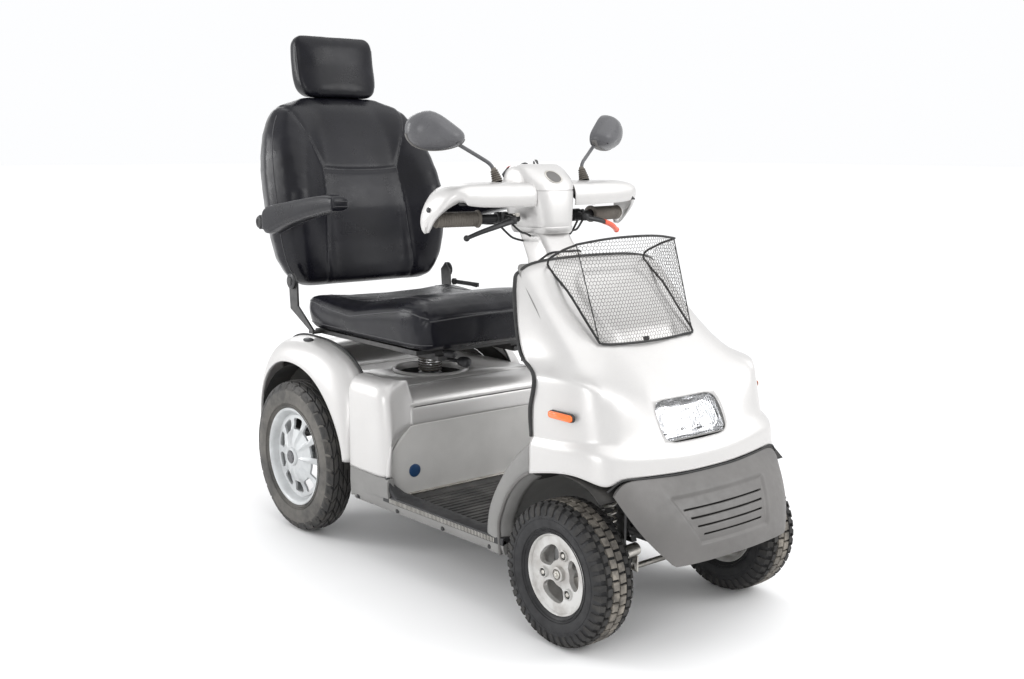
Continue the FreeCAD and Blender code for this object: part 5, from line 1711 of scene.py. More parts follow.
def hand_guards():
    """Wing shells over the bars, bent down into a tongue outside each grip, with a dark underside."""
    for side, tag in SIDES:
        shape = Shape().grid(guard_rows()).flipped(side)
        guard = shape.make(f"hand_guard_{tag}", "silver", "tiller", thick=3.4, smooth=50,
                           replaces=["hand_guards"] if side == RIGHT else ())
        step = guard.modifiers.new("rims", "BEVEL")
        step.width = 0.9 * MM
        step.segments = 2
        step.limit_method = "ANGLE"
        step.angle_limit = math.radians(50)
        under = Shape()
        rows = []
        for x in (80, 110, 150, 200, 250, 280):
            rows.append([(x, mix(-219, -129, i / 8), mix(921, 946, i / 8) + 12 * math.sin(math.pi * i / 8))
                         for i in range(9)])
        under.grid(rows)
        under.flipped(side)
        under.make(f"hand_guard_lining_{tag}", "seal", "tiller", thick=2, smooth=60)
        bung = Shape()
        bung.turned([(0, 0.1), (0, 6), (1.2, 6.6), (3.0, 6.2), (3.6, 5.0), (3.6, 0.1)],
                    (side * 315.5, -148, 908), (side, 0, 0), 24, closed=False)
        bung.make(f"hand_guard_plug_{tag}", "black", "tiller")


def bars_and_grips():
    """Bars out of the console and ribbed grips with flanges."""
    for side, tag in SIDES:
        bar = Shape()
        bar.rod((side * 70, -172.5, 884), (side * 182, -158, 884), 10.4, sides=28, round_edge=1)
        bar.make(f"handle_bar_{tag}", "black", "tiller", "grip_rubber", smooth=60)
        start = Vector((side * 180, -158, 884))
        end = Vector((side * 292, -140, 884))
        along = (end - start).normalized()
        length = (end - start).length
        profile = [(0, 12), (0, 19.5), (1.5, 21), (4, 21), (5.5, 19.5)]
        s = 8.0
        while s < length - 12:
            profile += [(s, 16.8), (s + 1.6, 17.9), (s + 4.2, 17.9), (s + 5.6, 16.8)]
            s += 6.4
        profile += [(length - 5, 17.2), (length - 2, 18.6), (length, 17.4), (length + 0.6, 0.1)]
        grip = Shape().turned(profile, start, along, 40, closed=False)
        grip.make(f"hand_grip_{tag}", "grip", "tiller", smooth=50, replaces=["grips"] if side == RIGHT
                  else ())


def cables():
    """Brake perches clamped on the bars, and the cables looping from them to the column."""
    for side, tag in SIDES:
        perch = Shape()
        perch.rod((side * 104, -170, 884), (side * 134, -165, 884), 15.5, sides=28, round_edge=1.5)
        perch.rod((side * 116, -206, 880), (side * 119, -172, 883), 9, 12, sides=20)
        perch.rod((side * 128, -186, 884), (side * 128, -186, 899), 4, sides=14, round_edge=1)
        perch.make(f"brake_perch_{tag}", "black", "tiller", smooth=50, bevel=0.8)
        loops = Shape()
        for start, end, sag in (((side * 116, -200, 874), (side * 40, -186, 838), 6),
                                ((side * 128, -168, 870), (side * 42, -160, 826), 12)):
            a, b = Vector(start), Vector(end)
            low = a.lerp(b, 0.55) - Vector((0, 12, sag))
            loops.tube(curve_through([a, a.lerp(low, 0.6) - Vector((0, 4, 6)), low, b], 6), 2.6, 10)
        loops.make(f"brake_cables_{tag}", "seal", "tiller", smooth=60)


def levers():
    """Brake levers with ball tips, and the wigwag paddles."""
    for side, tag in SIDES:
        shape = Shape()
        shape.turned([(-8, 0.1), (-8, 10), (-7, 11), (7, 11), (8, 10), (8, 0.1)], (side * 116, -206, 880),
                     (0, 0, 1), 32, closed=False)
        path = curve_through([(side * 116, -208, 880), (side * 148, -214, 874), (side * 180, -214, 866),
                              (side * 212, -206, 856), (side * 239, -193, 844)], 6)
        radii = [mix(8.2, 5.0, i / (len(path) - 1)) for i in range(len(path))]
        shape.tube(path, radii, 16, flat=0.72)
        shape.make(f"brake_lever_blade_{tag}", "black", f"brake_lever_{tag}", smooth=60,
                   replaces=[f"brake_lever_{tag}"])
        tip = Shape()
        ball = [(7.4 * math.cos(a), 7.4 * math.sin(a)) for a in
                (math.pi * k / 12 for k in range(1, 12))]
        tip.turned([(-7.4, 0.1)] + [(-u, r) for u, r in ball] + [(7.4, 0.1)], (side * 241, -192, 843),
                   (side, 0.5, -0.4), 24, closed=False)
        tip.make(f"brake_lever_tip_{tag}", "orange" if side == LEFT else "black", f"brake_lever_{tag}",
                 smooth=60)
        if side == LEFT:
            sleeve = Shape().tube(path[-14:], 6.6, 16)
            sleeve.make("brake_lever_sleeve_L", "orange", "brake_lever_L", smooth=60)
    catch = Shape()
    catch.rod((-104, -196, 893), (-104, -212, 893), 3, sides=14, round_edge=0.8)
    catch.box((-109, -212, 889), (-99, -206, 897))
    catch.make("brake_lock_catch", "zinc", "tiller", bevel=0.8)
    low, high = low_high("wigwag_lever")
    paddles = Shape()
    for side in (RIGHT, LEFT):
        outline = []
        for u, v in rounded_box_line(25, 12.5, 8, 5):
            outline.append((side * 103 + u, -115 + v))
        rows = [[(103 * side + (x - 103 * side) * s, -115 + (y + 115) * s, z) for x, y in outline]
                for z, s in ((low.z + 0.2, 0.9), (low.z + 2, 1), (high.z - 2, 1), (high.z - 0.2, 0.88))]
        paddles.grid(rows, around=True, ends=True)
        for i in range(4):
            x = side * (90 + i * 8)
            paddles.tube([(x, -122, high.z - 0.3), (x, -108, high.z - 0.3)], 0.9, 6)
    paddles.make("wigwag_paddles", "black", "wigwag_lever", smooth=45)


def mirrors():
    """Glossy shells on ribbed rubber boots, a paler band of painted light round the lower half of each rim,
    and the glass facing the rider.
    """
    for side, tag in SIDES:
        body = f"mirror_{tag}"
        boot = Shape()
        profile = [(0, 12.5), (2, 13)]
        for i in range(5):
            s = 4 + i * 5.4
            profile += [(s, 9.4 - i * 0.7), (s + 2.2, 13.0 - i * 0.9), (s + 3.4, 12.8 - i * 0.9),
                        (s + 5, 9.2 - i * 0.7)]
        profile += [(34, 6.5), (36, 5.4), (36, 0.1)]
        start = Vector((side * 139, -179, 969))
        end = Vector((side * 141, -164, 1003))
        boot.turned(profile, start, end - start, 32, closed=False)
        boot.make(f"mirror_boot_{tag}", "grip", body, smooth=45, replaces=[f"mirror_{tag}"])
        stem = Shape()
        path = curve_through([(side * 140.6, -166, 998), (side * 150, -160, 1013), (side * 180, -147, 1033),
                              (side * 212, -133, 1053), (side * 236, -122, 1068)], 5)
        stem.tube(path, 4.6, 16)
        stem.make(f"mirror_stem_{tag}", "mirror_shell", body, smooth=60)

        toe = math.radians(24)
        along = Vector((math.cos(toe), math.sin(toe), 0))
        across = Vector((-math.sin(toe), math.cos(toe), 0))
        centre = Vector((270, -112, 1088))

        def rim(scale_u, scale_w, depth):
            """Egg outline: full and round at the outer end, drawn down to the collar at the inner end."""
            row = []
            for k in range(48):
                a = 2 * math.pi * k / 48
                u = 70 * math.copysign(abs(math.cos(a)) ** 0.85, math.cos(a))
                w = 46 * math.copysign(abs(math.sin(a)) ** 0.88, math.sin(a))
                inner = smoothstep((20 - u) / 90)
                w = w * mix(1.0, 0.62, inner)
                row.append(centre + along * u * scale_u + Vector((0, 0, w * scale_w - 15 * inner))
                           - across * depth)
            return row

        shell = Shape()
        shell.grid([rim(0.93, 0.92, -7.5), rim(0.965, 0.955, -11.6), rim(0.99, 0.985, -12),
                    rim(1.0, 1.0, -8), rim(1.0, 1.0, 0), rim(0.97, 0.965, 9), rim(0.9, 0.88, 19),
                    rim(0.77, 0.74, 28.5), rim(0.6, 0.55, 35), rim(0.38, 0.34, 38.6), rim(0.15, 0.13, 40)],
                   around=True, ends=True)
        shell.flipped(side)
        shell.make(f"mirror_shell_{tag}", "mirror_shell", body, smooth=60)
        screw = Shape()
        screw.turned([(0, 4.2), (1.6, 3.6), (1.0, 2.0), (1.0, 0.1)], centre + along * -44 - across * 28
                     + Vector((0, 0, -26)), -across, 16, closed=False)
        screw.flipped(side)
        screw.make(f"mirror_screw_{tag}", "black", body)
        # Paler grey band round the lower half of the rim: painted light for the lighter lower half of the
        # glossy shell.
        lip = Shape()
        rows = []
        for depth, grow in ((-6, 1.008), (0, 1.012), (7, 0.985)):
            full = rim(grow, grow, depth)
            rows.append([full[k] for k in range(25, 48)])
        lip.grid(rows)
        lip.flipped(side)
        lip.make(f"mirror_painted_light_band_{tag}", "grey", body, thick=1.6, offset=0, smooth=60)
        glass = Shape()
        glass.grid([rim(0.93, 0.92, -8.6), rim(0.92, 0.91, -9.4), rim(0.6, 0.6, -9.0),
                    rim(0.25, 0.25, -8.8)], around=True, ends=True)
        glass.flipped(side)
        glass.make(f"mirror_glass_{tag}", "mirror", body, smooth=60)
        collar = Shape()
        collar.turned([(-6, 5), (-5, 8.5), (3, 9.5), (8, 7.6), (9, 4.6)],
                      (side * 234, -123, 1067), (side * 0.7, 0.25, 0.5), 24)
        collar.make(f"mirror_ball_collar_{tag}", "black", body, smooth=60)


# ---------------------------------------------------------------- seat
def between(table, key, blur=16.0):
    """Value from a table of (key, value) pairs, with its corners eased over blur either way."""
    total = 0.0
    for step in range(-4, 5):
        k = min(table[-1][0], max(table[0][0], key + blur * step / 4))
        for (k0, v0), (k1, v1) in zip(table, table[1:]):
            if k <= k1:
                total += mix(v0, v1, (k - k0) / (k1 - k0))
                break
    return total / 9


CLOTH_FRAMES = 16


def plump(obj, voxel, cap, shrink=1.5):
    """Fills a closed form like a stuffed cover: fine remesh, then a short cloth run under pressure, eased
    towards an even swell and kept within cap of the form."""
    step = obj.modifiers.new("fine", "REMESH")
    step.mode = "VOXEL"
    step.voxel_size = voxel * MM
    apply_modifiers(obj)
    move_points(obj, lambda p, n: -n * shrink)
    rest = [v.co.copy() for v in obj.data.vertices]
    even = [v.normal * (shrink + 1.0) * MM for v in obj.data.vertices]
    cloth = obj.modifiers.new("cover", "CLOTH")
    settings = cloth.settings
    settings.quality = 5
    settings.mass = 0.3
    settings.tension_stiffness = settings.compression_stiffness = 18
    settings.bending_stiffness = 1.5
    settings.use_pressure = True
    settings.uniform_pressure_force = 4.0
    settings.effector_weights.gravity = 0
    cloth.collision_settings.use_collision = False
    cloth.point_cache.frame_start = 1
    cloth.point_cache.frame_end = CLOTH_FRAMES
    scene = bpy.context.scene
    for number in range(1, CLOTH_FRAMES + 1):
        scene.frame_set(number)
    graph = bpy.context.evaluated_depsgraph_get()
    swollen = [v.co.copy() for v in obj.evaluated_get(graph).data.vertices]
    obj.modifiers.clear()
    scene.frame_set(1)
    for vertex, home, out, plain in zip(obj.data.vertices, rest, swollen, even):
        way = out - home
        reach = cap * MM * (1 - math.exp(-way.length / (cap * MM)))
        vertex.co = home + plain.lerp(way.normalized() * reach, 0.4)
    obj.data.update()


def ease_points(obj, times):
    """Laplacian easing of a mesh, without changing its faces."""
    work = bmesh.new()
    work.from_mesh(obj.data)
    for _ in range(times):
        bmesh.ops.smooth_vert(work, verts=work.verts, factor=0.5, use_axis_x=True, use_axis_y=True,
                              use_axis_z=True)
    work.to_mesh(obj.data)
    work.free()
    obj.data.update()


def press_seams(obj, seams, faces_this_way, depth, width):
    """Presses a channel along each seam line (a list of points), where the skin faces a direction."""
    facing = Vector(faces_this_way)
    lines = [curve_through(seam, 6) for seam in seams]

    def shift(point, normal):
        if normal.dot(facing) < 0.1:
            return Vector()
        nearest = min((distance_to_stretch(point, a, b, facing) for line in lines
                       for a, b in zip(line, line[1:])), default=1e9)
        if nearest > width * 3:
            return Vector()
        return -normal * depth * math.exp(-((nearest / width) ** 2))

    move_points(obj, shift)


def distance_to_stretch(point, a, b, facing):
    """Distance from a point to a stretch, seen along facing."""
    ab = b - a
    t = min(1.0, max(0.0, (point - a).dot(ab) / max(ab.length_squared, 1e-9)))
    gap = point - (a + ab * t)
    return (gap - facing * gap.dot(facing)).length


def seam_cords(name, obj, seams, direction, body, radius=1.1, lift=0.2):
    """Sewn cords lying on the skin along each seam."""
    tree = skin_tree(obj)
    cords = Shape()
    for seam in seams:
        line = curve_through(seam, 6)
        path = []
        for p in line:
            start = p - Vector(direction).normalized() * 160
            path.append(onto(tree, start, direction, lift))
        cords.tube(path, radius, 6)
    return cords.make(name, "thread", body, smooth=60)


def finish_soft(obj, body, stands_for):
    step = obj.modifiers.new("rounding", "SUBSURF")
    step.levels = step.render_levels = 1
    obj.data.shade_smooth()
    dress(obj, body, stands_for)


EDGE_Z = [(-30, 640), (0, 656), (50, 661), (150, 646), (300, 621), (400, 628), (500, 640), (545, 640)]
CROWN_Z = [(-30, 640), (-8, 662), (30, 674), (60, 676), (150, 669), (300, 641), (450, 632), (545, 630)]
HALF_X = [(-30, 234), (-10, 252), (50, 260), (300, 260), (500, 256), (545, 244)]


def seat_cushion():
    rows = []
    for y in (-29, -27, -20, -6, 20, 60, 110, 160, 220, 280, 340, 400, 460, 510, 532, 542, 545):
        half = between(HALF_X, y)
        edge, crown = between(EDGE_Z, y), between(CROWN_Z, y)
        low = 551.0
        end = max(smoothstep((-8 - y) / 22), smoothstep((y - 524) / 21))
        low += 13 * max(0.0, (-6 - y) / 24) + 8 * max(0.0, (y - 530) / 15)
        edge -= 12 * end
        crown -= 10 * end
        half -= 10 * end
        tall = edge - low
        side = [(0, low), (half * 0.5, low), (half - 34, low), (half - 20, low + 2), (half - 10, low + 10),
                (half - 4, low + tall * 0.35), (half, low + tall * 0.62), (half - 2.5, low + tall * 0.86),
                (half - 10, edge), (half - 30, mix(edge, crown, 0.25) + 4),
                (half - 70, mix(edge, crown, 0.62) + 4), (half * 0.5, mix(edge, crown, 0.9) + 2),
                (0, crown)]
        ring = [(x, y, z) for x, z in side] + [(-x, y, z) for x, z in side[-2:0:-1]]
        rows.append(ring)
    cushion = Shape().grid(rows, around=True, ends=True).make("seat_cushion_form", "vinyl", None)
    plump(cushion, 7, 7.0)
    ease_points(cushion, 3)

    def settle(point, normal):
        """Flat where it sits on its pan."""
        return Vector((0, 0, 550.2 - point.z)) if point.z < 550.2 else Vector()

    move_points(cushion, settle)
    gather = []
    for side in (RIGHT, LEFT):
        gather.append([(side * 252, 6, 606), (side * 246, -14, 622), (side * 226, -14, 648),
                       (side * 200, 24, 678), (side * 190, 70, 684)])
    press_seams(cushion, [[Vector(p) for p in line] for line in gather], (0, -0.6, 0.8), 3.0, 6.0)
    finish_soft(cushion, "seat_frame", ["seat_cushion"])
    tree = skin_tree(cushion)
    piping = Shape()
    for side in (RIGHT, LEFT):
        path = []
        for y in range(-20, 540, 14):
            z = between(EDGE_Z, y) - 13
            path.append(onto(tree, (side * 330, y, z), (-side, 0, 0), -0.3))
        piping.tube(path, 1.9, 8)
        path = []
        for y in range(-22, 540, 14):
            path.append(onto(tree, (side * 330, y, 568), (-side, 0, 0), -0.2))
        piping.tube(path, 1.5, 8)
    front = []
    for i in range(33):
        x = mix(-226, 226, i / 32)
        front.append(onto(tree, (x, -120, 633 - 6 * (x / 226) ** 2), (0, 1, 0), -0.2))
    piping.tube(front, 1.9, 8)
    piping.make("seat_cushion_piping", "thread", "seat_frame", smooth=60)
    seams = [[Vector((side * 186, y, 760)) for y in (20, 120, 260, 400, 520)] for side in (RIGHT, LEFT)]
    seam_cords("seat_cushion_seams", cushion, seams, (0, 0, -1), "seat_frame", 1.0)


BACK_HALF = [(652, 222), (672, 242), (738, 276), (830, 287), (912, 288), (1000, 280), (1060, 266),
             (1100, 252), (1150, 226), (1176, 200), (1190, 156), (1196, 108)]
BACK_REAR = [(652, 676), (700, 714), (846, 752), (980, 788), (1110, 812), (1160, 802), (1195, 770)]
BACK_MIDDLE = [(652, 574), (690, 584), (790, 599), (900, 608), (1000, 640), (1090, 672), (1165, 701),
               (1195, 732)]
BACK_BOLSTER = [(652, 580), (700, 566), (738, 560), (830, 557), (912, 560), (1000, 596), (1090, 648),
                (1167, 700), (1195, 734)]


def back_front(u, z):
    """How far forward the backrest's front stands; u is -1..1 across."""
    middle, bolster = between(BACK_MIDDLE, z, 44), between(BACK_BOLSTER, z, 36)
    ridge = smoothstep((abs(u) - 0.38) / 0.42)
    return mix(middle, bolster, ridge) - 5 * max(0.0, 1 - (u / 0.42) ** 2)


def backrest():
    rows = []
    for z in (654, 658, 668, 690, 730, 780, 830, 880, 930, 980, 1030, 1080, 1125, 1152, 1170, 1182, 1190,
              1195):
        half = between(BACK_HALF, z)
        tip = max(smoothstep((z - 1160) / 36), smoothstep((672 - z) / 22))
        shrink = 1 - 0.10 * tip
        front_line, back_line = [], []
        rear = between(BACK_REAR, z)
        for i in range(25):
            u = mix(-1, 1, i / 24)
            face = back_front(u, z)
            middle = (face + rear) / 2
            round_off = max(0.0, (abs(u) - 0.80) / 0.20)
            ease = 1 - math.sqrt(max(0.0, 1 - round_off ** 2)) if round_off else 0.0
            y_front = mix(face, middle, ease)
            y_back = mix(rear, middle, ease)
            squeeze = 0.55 * tip
            front_line.append((u * half * shrink, mix(y_front, (face + rear) / 2, squeeze), z))
            back_line.append((u * half * shrink, mix(y_back, (face + rear) / 2, squeeze), z))
        rows.append(front_line + back_line[-2:0:-1])
    back = Shape().grid(rows, around=True, ends=True).make("backrest_form", "vinyl", None)
    plump(back, 7, 7.0)
    ease_points(back, 4)
    seams = []
    for side in (RIGHT, LEFT):
        seams.append([Vector(p) for p in ((side * 196, 690, 1168), (side * 170, 670, 1100),
                                          (side * 140, 645, 1026), (side * 126, 640, 988))])
        seams.append([Vector(p) for p in ((side * 126, 640, 988), (side * 132, 610, 900),
                                          (side * 140, 600, 800), (side * 146, 590, 720),
                                          (side * 142, 590, 672))])
    seams.append([Vector(p) for p in ((-126, 640, 988), (-60, 645, 984), (0, 646, 983), (60, 645, 984),
                                      (126, 640, 988))])
    press_seams(back, seams, (0, -1, 0), 4.0, 6.0)
    finish_soft(back, "backrest", ["backrest"])
    seam_cords("backrest_seams", back, seams, (0, 1, 0), "backrest", 1.1, lift=-0.4)
    tree = skin_tree(back)
    piping = Shape()
    for side in (RIGHT, LEFT):
        path = []
        for z in range(676, 1150, 14):
            y = mix(between(BACK_BOLSTER, z, 36), between(BACK_REAR, z), 0.34)
            path.append(onto(tree, (side * 340, y, z), (-side, 0, 0), -0.2))
        piping.tube(path, 1.7, 8)
    piping.make("backrest_piping", "thread", "backrest", smooth=60)
    panel = Shape()
    rows = []
    for z in range(690, 1150, 20):
        row = []
        half = between(BACK_HALF, z) - 62
        for i in range(15):
            x = mix(-half, half, i / 14)
            fade = min(1.0, i, 14 - i, (z - 690) / 12 + 0.0001, (1140 - z) / 12 + 0.0001)
            row.append(onto(tree, (x, 900, z), (0, -1, 0), 2.2 * max(0.0, fade) - 0.8))
        rows.append(row)
    panel.grid(rows)
    panel.make("backrest_rear_panel", "black", "backrest", smooth=60)


def headrest():
    front = [(1192, 712), (1230, 724), (1290, 740), (1350, 750), (1372, 756)]
    rear = [(1192, 796), (1222, 805), (1300, 815), (1345, 815), (1372, 806)]
    low, high, half_x, corner = 1192.5, 1372.5, 133.0, 34.0
    rows = []
    for k in range(23):
        z = mix(high, low, (1 - math.cos(math.pi * k / 22)) / 2)
        near_end = max(0.0, corner - min(z - low, high - z))
        shrink = corner - math.sqrt(max(0.0, corner ** 2 - near_end ** 2))
        edge = min(1.0, shrink / corner)
        wide = half_x - shrink * 0.85 - 10 * smoothstep((1260 - z) / 80)
        face, back = between(front, z), between(rear, z)
        middle = (face + back) / 2
        deep = 1 - 0.62 * edge ** 1.5
        front_line, back_line = [], []
        for i in range(21):
            a = math.pi * i / 20
            u = -math.copysign(abs(math.cos(a)) ** 0.55, math.cos(a))
            v = abs(math.sin(a)) ** 0.42
            front_line.append((u * wide, middle + (face - middle + 5 * u * u) * v * deep, z))
            back_line.append((u * wide, middle + (back - middle) * v * deep, z))
        rows.append(front_line + back_line[-2:0:-1])
    pad = Shape().grid(rows, around=True, ends=True).make("headrest_pad", "vinyl", None)
    plump(pad, 5, 5.0)
    ease_points(pad, 5)
    finish_soft(pad, "headrest", ["headrest"])
    tree = skin_tree(pad)
    piping = Shape()
    for side in (RIGHT, LEFT):
        path = []
        for z in range(1226, 1342, 8):
            path.append(onto(tree, (side * 190, mix(between(front, z), between(rear, z), 0.3), z),
                             (-side, 0, 0), -0.2))
        piping.tube(path, 1.5, 8)
    piping.make("headrest_piping", "thread", "headrest", smooth=60)
    posts = Shape()
    for side in (RIGHT, LEFT):
        posts.rod((side * 62, 742.5, 1130), (side * 62, 774.3, 1217.5), 5.8, sides=20, round_edge=1)
    posts.make("headrest_posts", "chrome", "headrest", smooth=60)
    collars = Shape()
    for side in (RIGHT, LEFT):
        collars.turned([(0, 6.6), (0, 13), (3, 13), (5, 10.5), (7, 9), (7, 6.6)], (side * 62, 763.6, 1188),
                       (0, 0.342, 0.94), 28)
    collars.make("headrest_collars", "black", "backrest", smooth=45)


ARM_X = 318.0


def armrests():
    """Padded arms with a rounded heel, a seam round each side and the bracket that carries them."""
    line = [(236, 900), (238, 920), (248, 929), (300, 929), (400, 917), (500, 903), (560, 894), (586, 888),
            (600, 872), (603, 846), (598, 822), (586, 812), (566, 813), (530, 824), (480, 839), (400, 858),
            (300, 878), (254, 886), (240, 889)]
    smooth_line = [(p.y, p.z) for p in curve_through([(0, y, z) for y, z in line + line[:1]], 3)[:-1]]
    count = len(smooth_line)

    def inset(amount):
        points = []
        for i, (y, z) in enumerate(smooth_line):
            before, after = smooth_line[i - 1], smooth_line[(i + 1) % count]
            ty, tz = after[0] - before[0], after[1] - before[1]
            size = math.hypot(ty, tz) or 1
            points.append((y - tz / size * amount, z - ty / size * amount))
        return points

    for side, tag in SIDES:
        rows = []
        for offset, amount in ((-25, 13), (-24, 7.5), (-20, 3.2), (-13, 1.0), (0, 0.3), (13, 1.0),
                               (20, 3.2), (24, 7.5), (25, 13)):
            rows.append([(ARM_X + offset, y, z) for y, z in inset(amount)])
        shape = Shape().grid(rows, around=True, ends=True).flipped(side)
        arm = shape.make(f"armrest_pad_{tag}", "vinyl", None)
        plump(arm, 5, 4.0, shrink=1.2)
        ease_points(arm, 1)
        finish_soft(arm, f"armrest_{tag}", [f"armrest_{tag}"])
        tree = skin_tree(arm)
        cords = Shape()
        for offset in (-18, 18):
            path = []
            for y, z in inset(5.0):
                start = Vector((side * (ARM_X + offset * 3), y, z))
                toward = Vector((-math.copysign(1, offset) * side, 0, 0))
                path.append(onto(tree, start, toward, -0.3))
            cords.tube(path, 1.4, 6, closed=True)
        cords.make(f"armrest_seams_{tag}", "thread", f"armrest_{tag}", smooth=60)
        bracket = Shape()
        outline = [(560, 832), (600, 826), (640, 822), (654, 828), (660, 842), (654, 856), (640, 862),
                   (600, 860), (560, 866)]
        bracket.prism(outline, "X", *sorted((side * 322, side * 330)))
        bracket.turned([(0, 0.1), (0, 15), (1.5, 17), (4, 16), (5.5, 13), (5.5, 9), (3.5, 7.5), (3.5, 0.1)],
                       (side * 329, 640, 842), (side, 0, 0), 36, closed=False)
        bracket.make(f"armrest_bracket_{tag}", "black", f"armrest_{tag}", smooth=45, bevel=1)


def seat_ironwork():
    """Post gaiter, swivel knob, slide handle, hinge discs and the recline handle."""
    gaiter = Shape()
    profile = []
    low, high, folds = 438.5, 485.5, 7
    steps = folds * 6
    for i in range(steps + 1):
        t = i / steps
        profile.append((mix(low, high, t), 30.5 + 3.2 * math.cos(2 * math.pi * folds * t)))
    gaiter.turned([(a, r) for a, r in profile] + [(a, 26.5) for a in (high, low)], (0, POST_Y, 0),
                  (0, 0, 1), 48)
    gaiter.make("seat_post_gaiter", "grip", "seat_post", smooth=60)
    knob = Shape()
    path = curve_through([(-84, 236, 502), (-76, 150, 501), (-69, 70, 500)], 5)
    knob.tube(path, 5.2, 12, flat=0.7)
    knob.turned([(0, 0.1), (0, 8), (5, 11.5), (14, 13.4), (29, 13.8), (36, 11.5), (39.5, 6), (40, 0.1)],
                (-68.8, 66, 500.4), (0.07, -1, 0), 32, closed=False)
    knob.make("swivel_knob", "black", "swivel_lever", smooth=50, replaces=["swivel_lever"])
    slide = Shape()
    slide_low, slide_high = low_high("slide_lever")
    middle = (slide_low + slide_high) / 2
    slide.turned([(0, 0.1), (0, 7), (3, 9.4), (24, 10.2), (38, 8), (41, 0.1)],
                 (middle.x, slide_low.y + 40, middle.z - 3), (0, -1, 0), 28, closed=False)
    slide.rod((middle.x, slide_low.y + 36, middle.z - 3), (middle.x, slide_high.y - 1, middle.z), 4.4,
              sides=16)
    slide.make("slide_handle", "black", "slide_lever", smooth=50, replaces=["slide_lever"])
    discs = Shape()
    for side in (RIGHT, LEFT):
        discs.turned([(0, 0.1), (0, 20), (2, 22), (5, 22), (7, 19), (7, 12), (9.5, 11), (10.5, 8),
                      (10.5, 0.1)], (side * 269.0, 574, 678), (side, 0, 0), 40, closed=False)
    discs.make("recline_hinge_discs", "black", "seat_frame", "frame_steel", smooth=45)
    handle_low, handle_high = low_high("recline_lever")
    x = (handle_low.x + handle_high.x) / 2
    path = curve_through([(x, handle_high.y - 6, handle_high.z - 8), (x, 520, 640), (x, 480, 639),
                          (x, handle_low.y + 6, handle_low.z + 7)], 6)
    handle = Shape().tube(path, [mix(4.4, 6.2, i / (len(path) - 1)) for i in range(len(path))], 14,
                          flat=0.6)
    handle.make("recline_handle", "black", "recline_lever", smooth=60)


# ---------------------------------------------------------------- carried-over CAD parts
CAD_LOOKS = {
    "steel": ["main_frame", "steering_stem", "front_arm_R", "front_arm_L", "rear_axle", "swivel_base",
              "seat_frame"],
    "zinc": ["tie_rod", "knuckle_R", "knuckle_L"],
    "chrome": ["seat_post"],
    "grey": ["floor_deck"],
    "black": ["batteries", "recline_lever"],
    "orange": ["freewheel_lever"],
}


def dress_cad_nodes():
    """Gives every CAD node that still shows its own procedural finish."""
    looks = {node: look for look, nodes in CAD_LOOKS.items() for node in nodes}
    for name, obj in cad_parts.items():
        material = LOOK[looks.get(name, "black")]
        obj.data.materials.clear()
        obj.data.materials.append(material)
        obj.data.shade_smooth()
        obj.data.set_sharp_from_angle(angle=math.radians(35))


# ---------------------------------------------------------------- stage
CAMERA_PLACE = (-1.9036, -2.3608, 1.0524)
CAMERA_AZIMUTH = math.radians(-39.675)
CAMERA_ELEVATION = math.radians(9.251)
CAMERA_ROLL = math.radians(0.173)
LENS = 41.694


def make_camera():
    back = Vector((math.sin(CAMERA_AZIMUTH) * math.cos(CAMERA_ELEVATION),
                   -math.cos(CAMERA_AZIMUTH) * math.cos(CAMERA_ELEVATION), math.sin(CAMERA_ELEVATION)))
    right = (-back).cross(Vector((0, 0, 1))).normalized()
    up = back.cross(right)
    rolled = right * math.cos(CAMERA_ROLL) + up * math.sin(CAMERA_ROLL)
    up = back.cross(rolled)
    data = bpy.data.cameras.new("camera")
    data.lens = LENS
    data.sensor_width = 36.0
    camera = bpy.data.objects.new("camera", data)
    turn = Matrix((rolled, up, back)).transposed().to_4x4()
    camera.matrix_world = Matrix.Translation(CAMERA_PLACE) @ turn
    bpy.context.scene.collection.objects.link(camera)
    bpy.context.scene.camera = camera


def make_floor():
    mesh = bpy.data.meshes.new("floor")
    reach = 60.0
    mesh.from_pydata([(-reach, -reach, 0), (reach, -reach, 0), (reach, reach, 0), (-reach, reach, 0)], [],
                     [[0, 1, 2, 3]])
    mesh.materials.append(LOOK["floor"])
    floor = bpy.data.objects.new("floor", mesh)
    bpy.context.scene.collection.objects.link(floor)


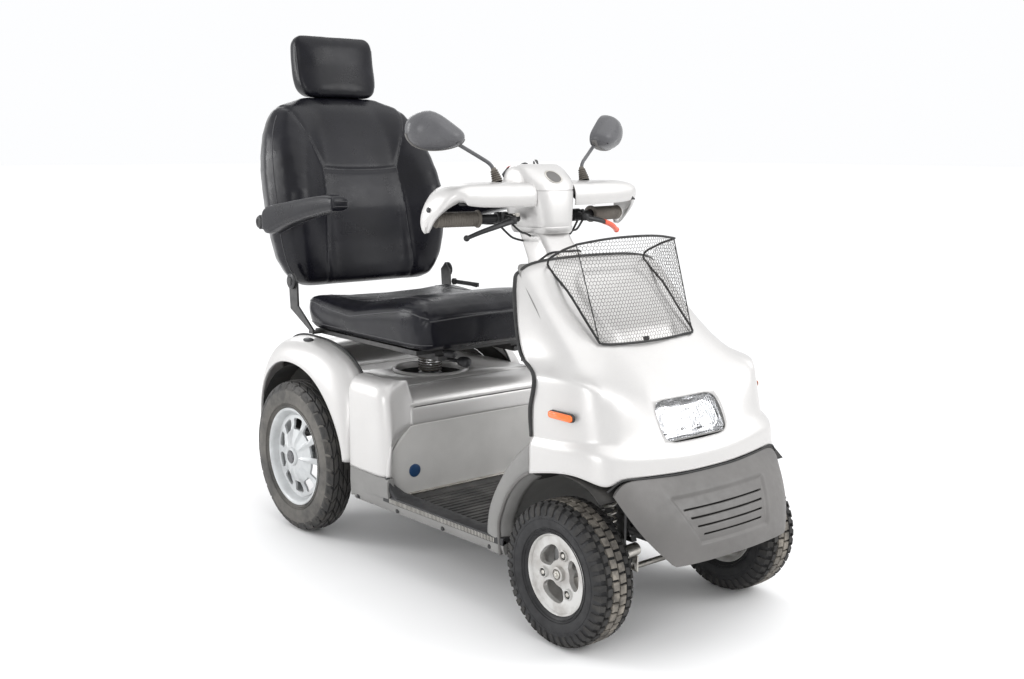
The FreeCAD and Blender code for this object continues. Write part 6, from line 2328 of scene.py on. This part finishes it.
def area_light(name, place, aim, size, power):
    data = bpy.data.lights.new(name, "AREA")
    data.shape = "RECTANGLE"
    data.size, data.size_y = size
    data.energy = power
    lamp = bpy.data.objects.new(name, data)
    lamp.location = place
    lamp.rotation_euler = (Vector(aim) - Vector(place)).to_track_quat("-Z", "Y").to_euler()
    bpy.context.scene.collection.objects.link(lamp)


def make_lights():
    """Wide overhead sun, a key panel from the front left, a fill from the right and two panels behind."""
    data = bpy.data.lights.new("sun", "SUN")
    data.energy = 1.05
    data.angle = math.radians(70)
    lamp = bpy.data.objects.new("sun", data)
    lamp.rotation_euler = Vector((-0.45, 0.5, -1.2)).to_track_quat("-Z", "Y").to_euler()
    bpy.context.scene.collection.objects.link(lamp)
    area_light("key", (2.6, -3.4, 2.6), (0, -0.2, 0.5), (2.0, 1.8), 60)
    area_light("fill", (-3.4, -2.0, 1.5), (0, 0.1, 0.4), (1.4, 1.4), 26)
    area_light("rim", (-2.9, 3.0, 1.9), (0, 0.3, 0.7), (1.0, 2.0), 60)
    area_light("back", (1.4, 4.0, 2.6), (0, 0, 0.7), (2.4, 1.6), 25)
    world = bpy.data.worlds.new("studio")
    world.use_nodes = True
    background = world.node_tree.nodes["Background"]
    background.inputs["Color"].default_value = (0.985, 0.99, 1.0, 1)
    background.inputs["Strength"].default_value = 1.0
    scene = bpy.context.scene
    scene.world = world
    scene.view_settings.view_transform = "Standard"
    scene.view_settings.look = "None"
    scene.view_settings.exposure = 0.0


# ---------------------------------------------------------------- build
dress_cad_nodes()

cowl_shell()
cowl_seals()
wheel_arch_liner()
front_flare()
headlamp()
side_indicators()
front_bumper()
basket()

foot_deck()
side_sills()
kick_panels()
side_blocks()
base_wall()
base_cover()
rear_fenders()
rear_end()
rear_axle_cover()
leg_shroud()

tyres()
front_rims()
rear_rims()
drum_and_stub()
coil_springs()

tiller_column()
tilt_bellows()
console()
dashboard_parts()
hand_guards()
bars_and_grips()
cables()
levers()
mirrors()

seat_cushion()
backrest()
headrest()
armrests()
seat_ironwork()

make_camera()
make_floor()
make_lights()
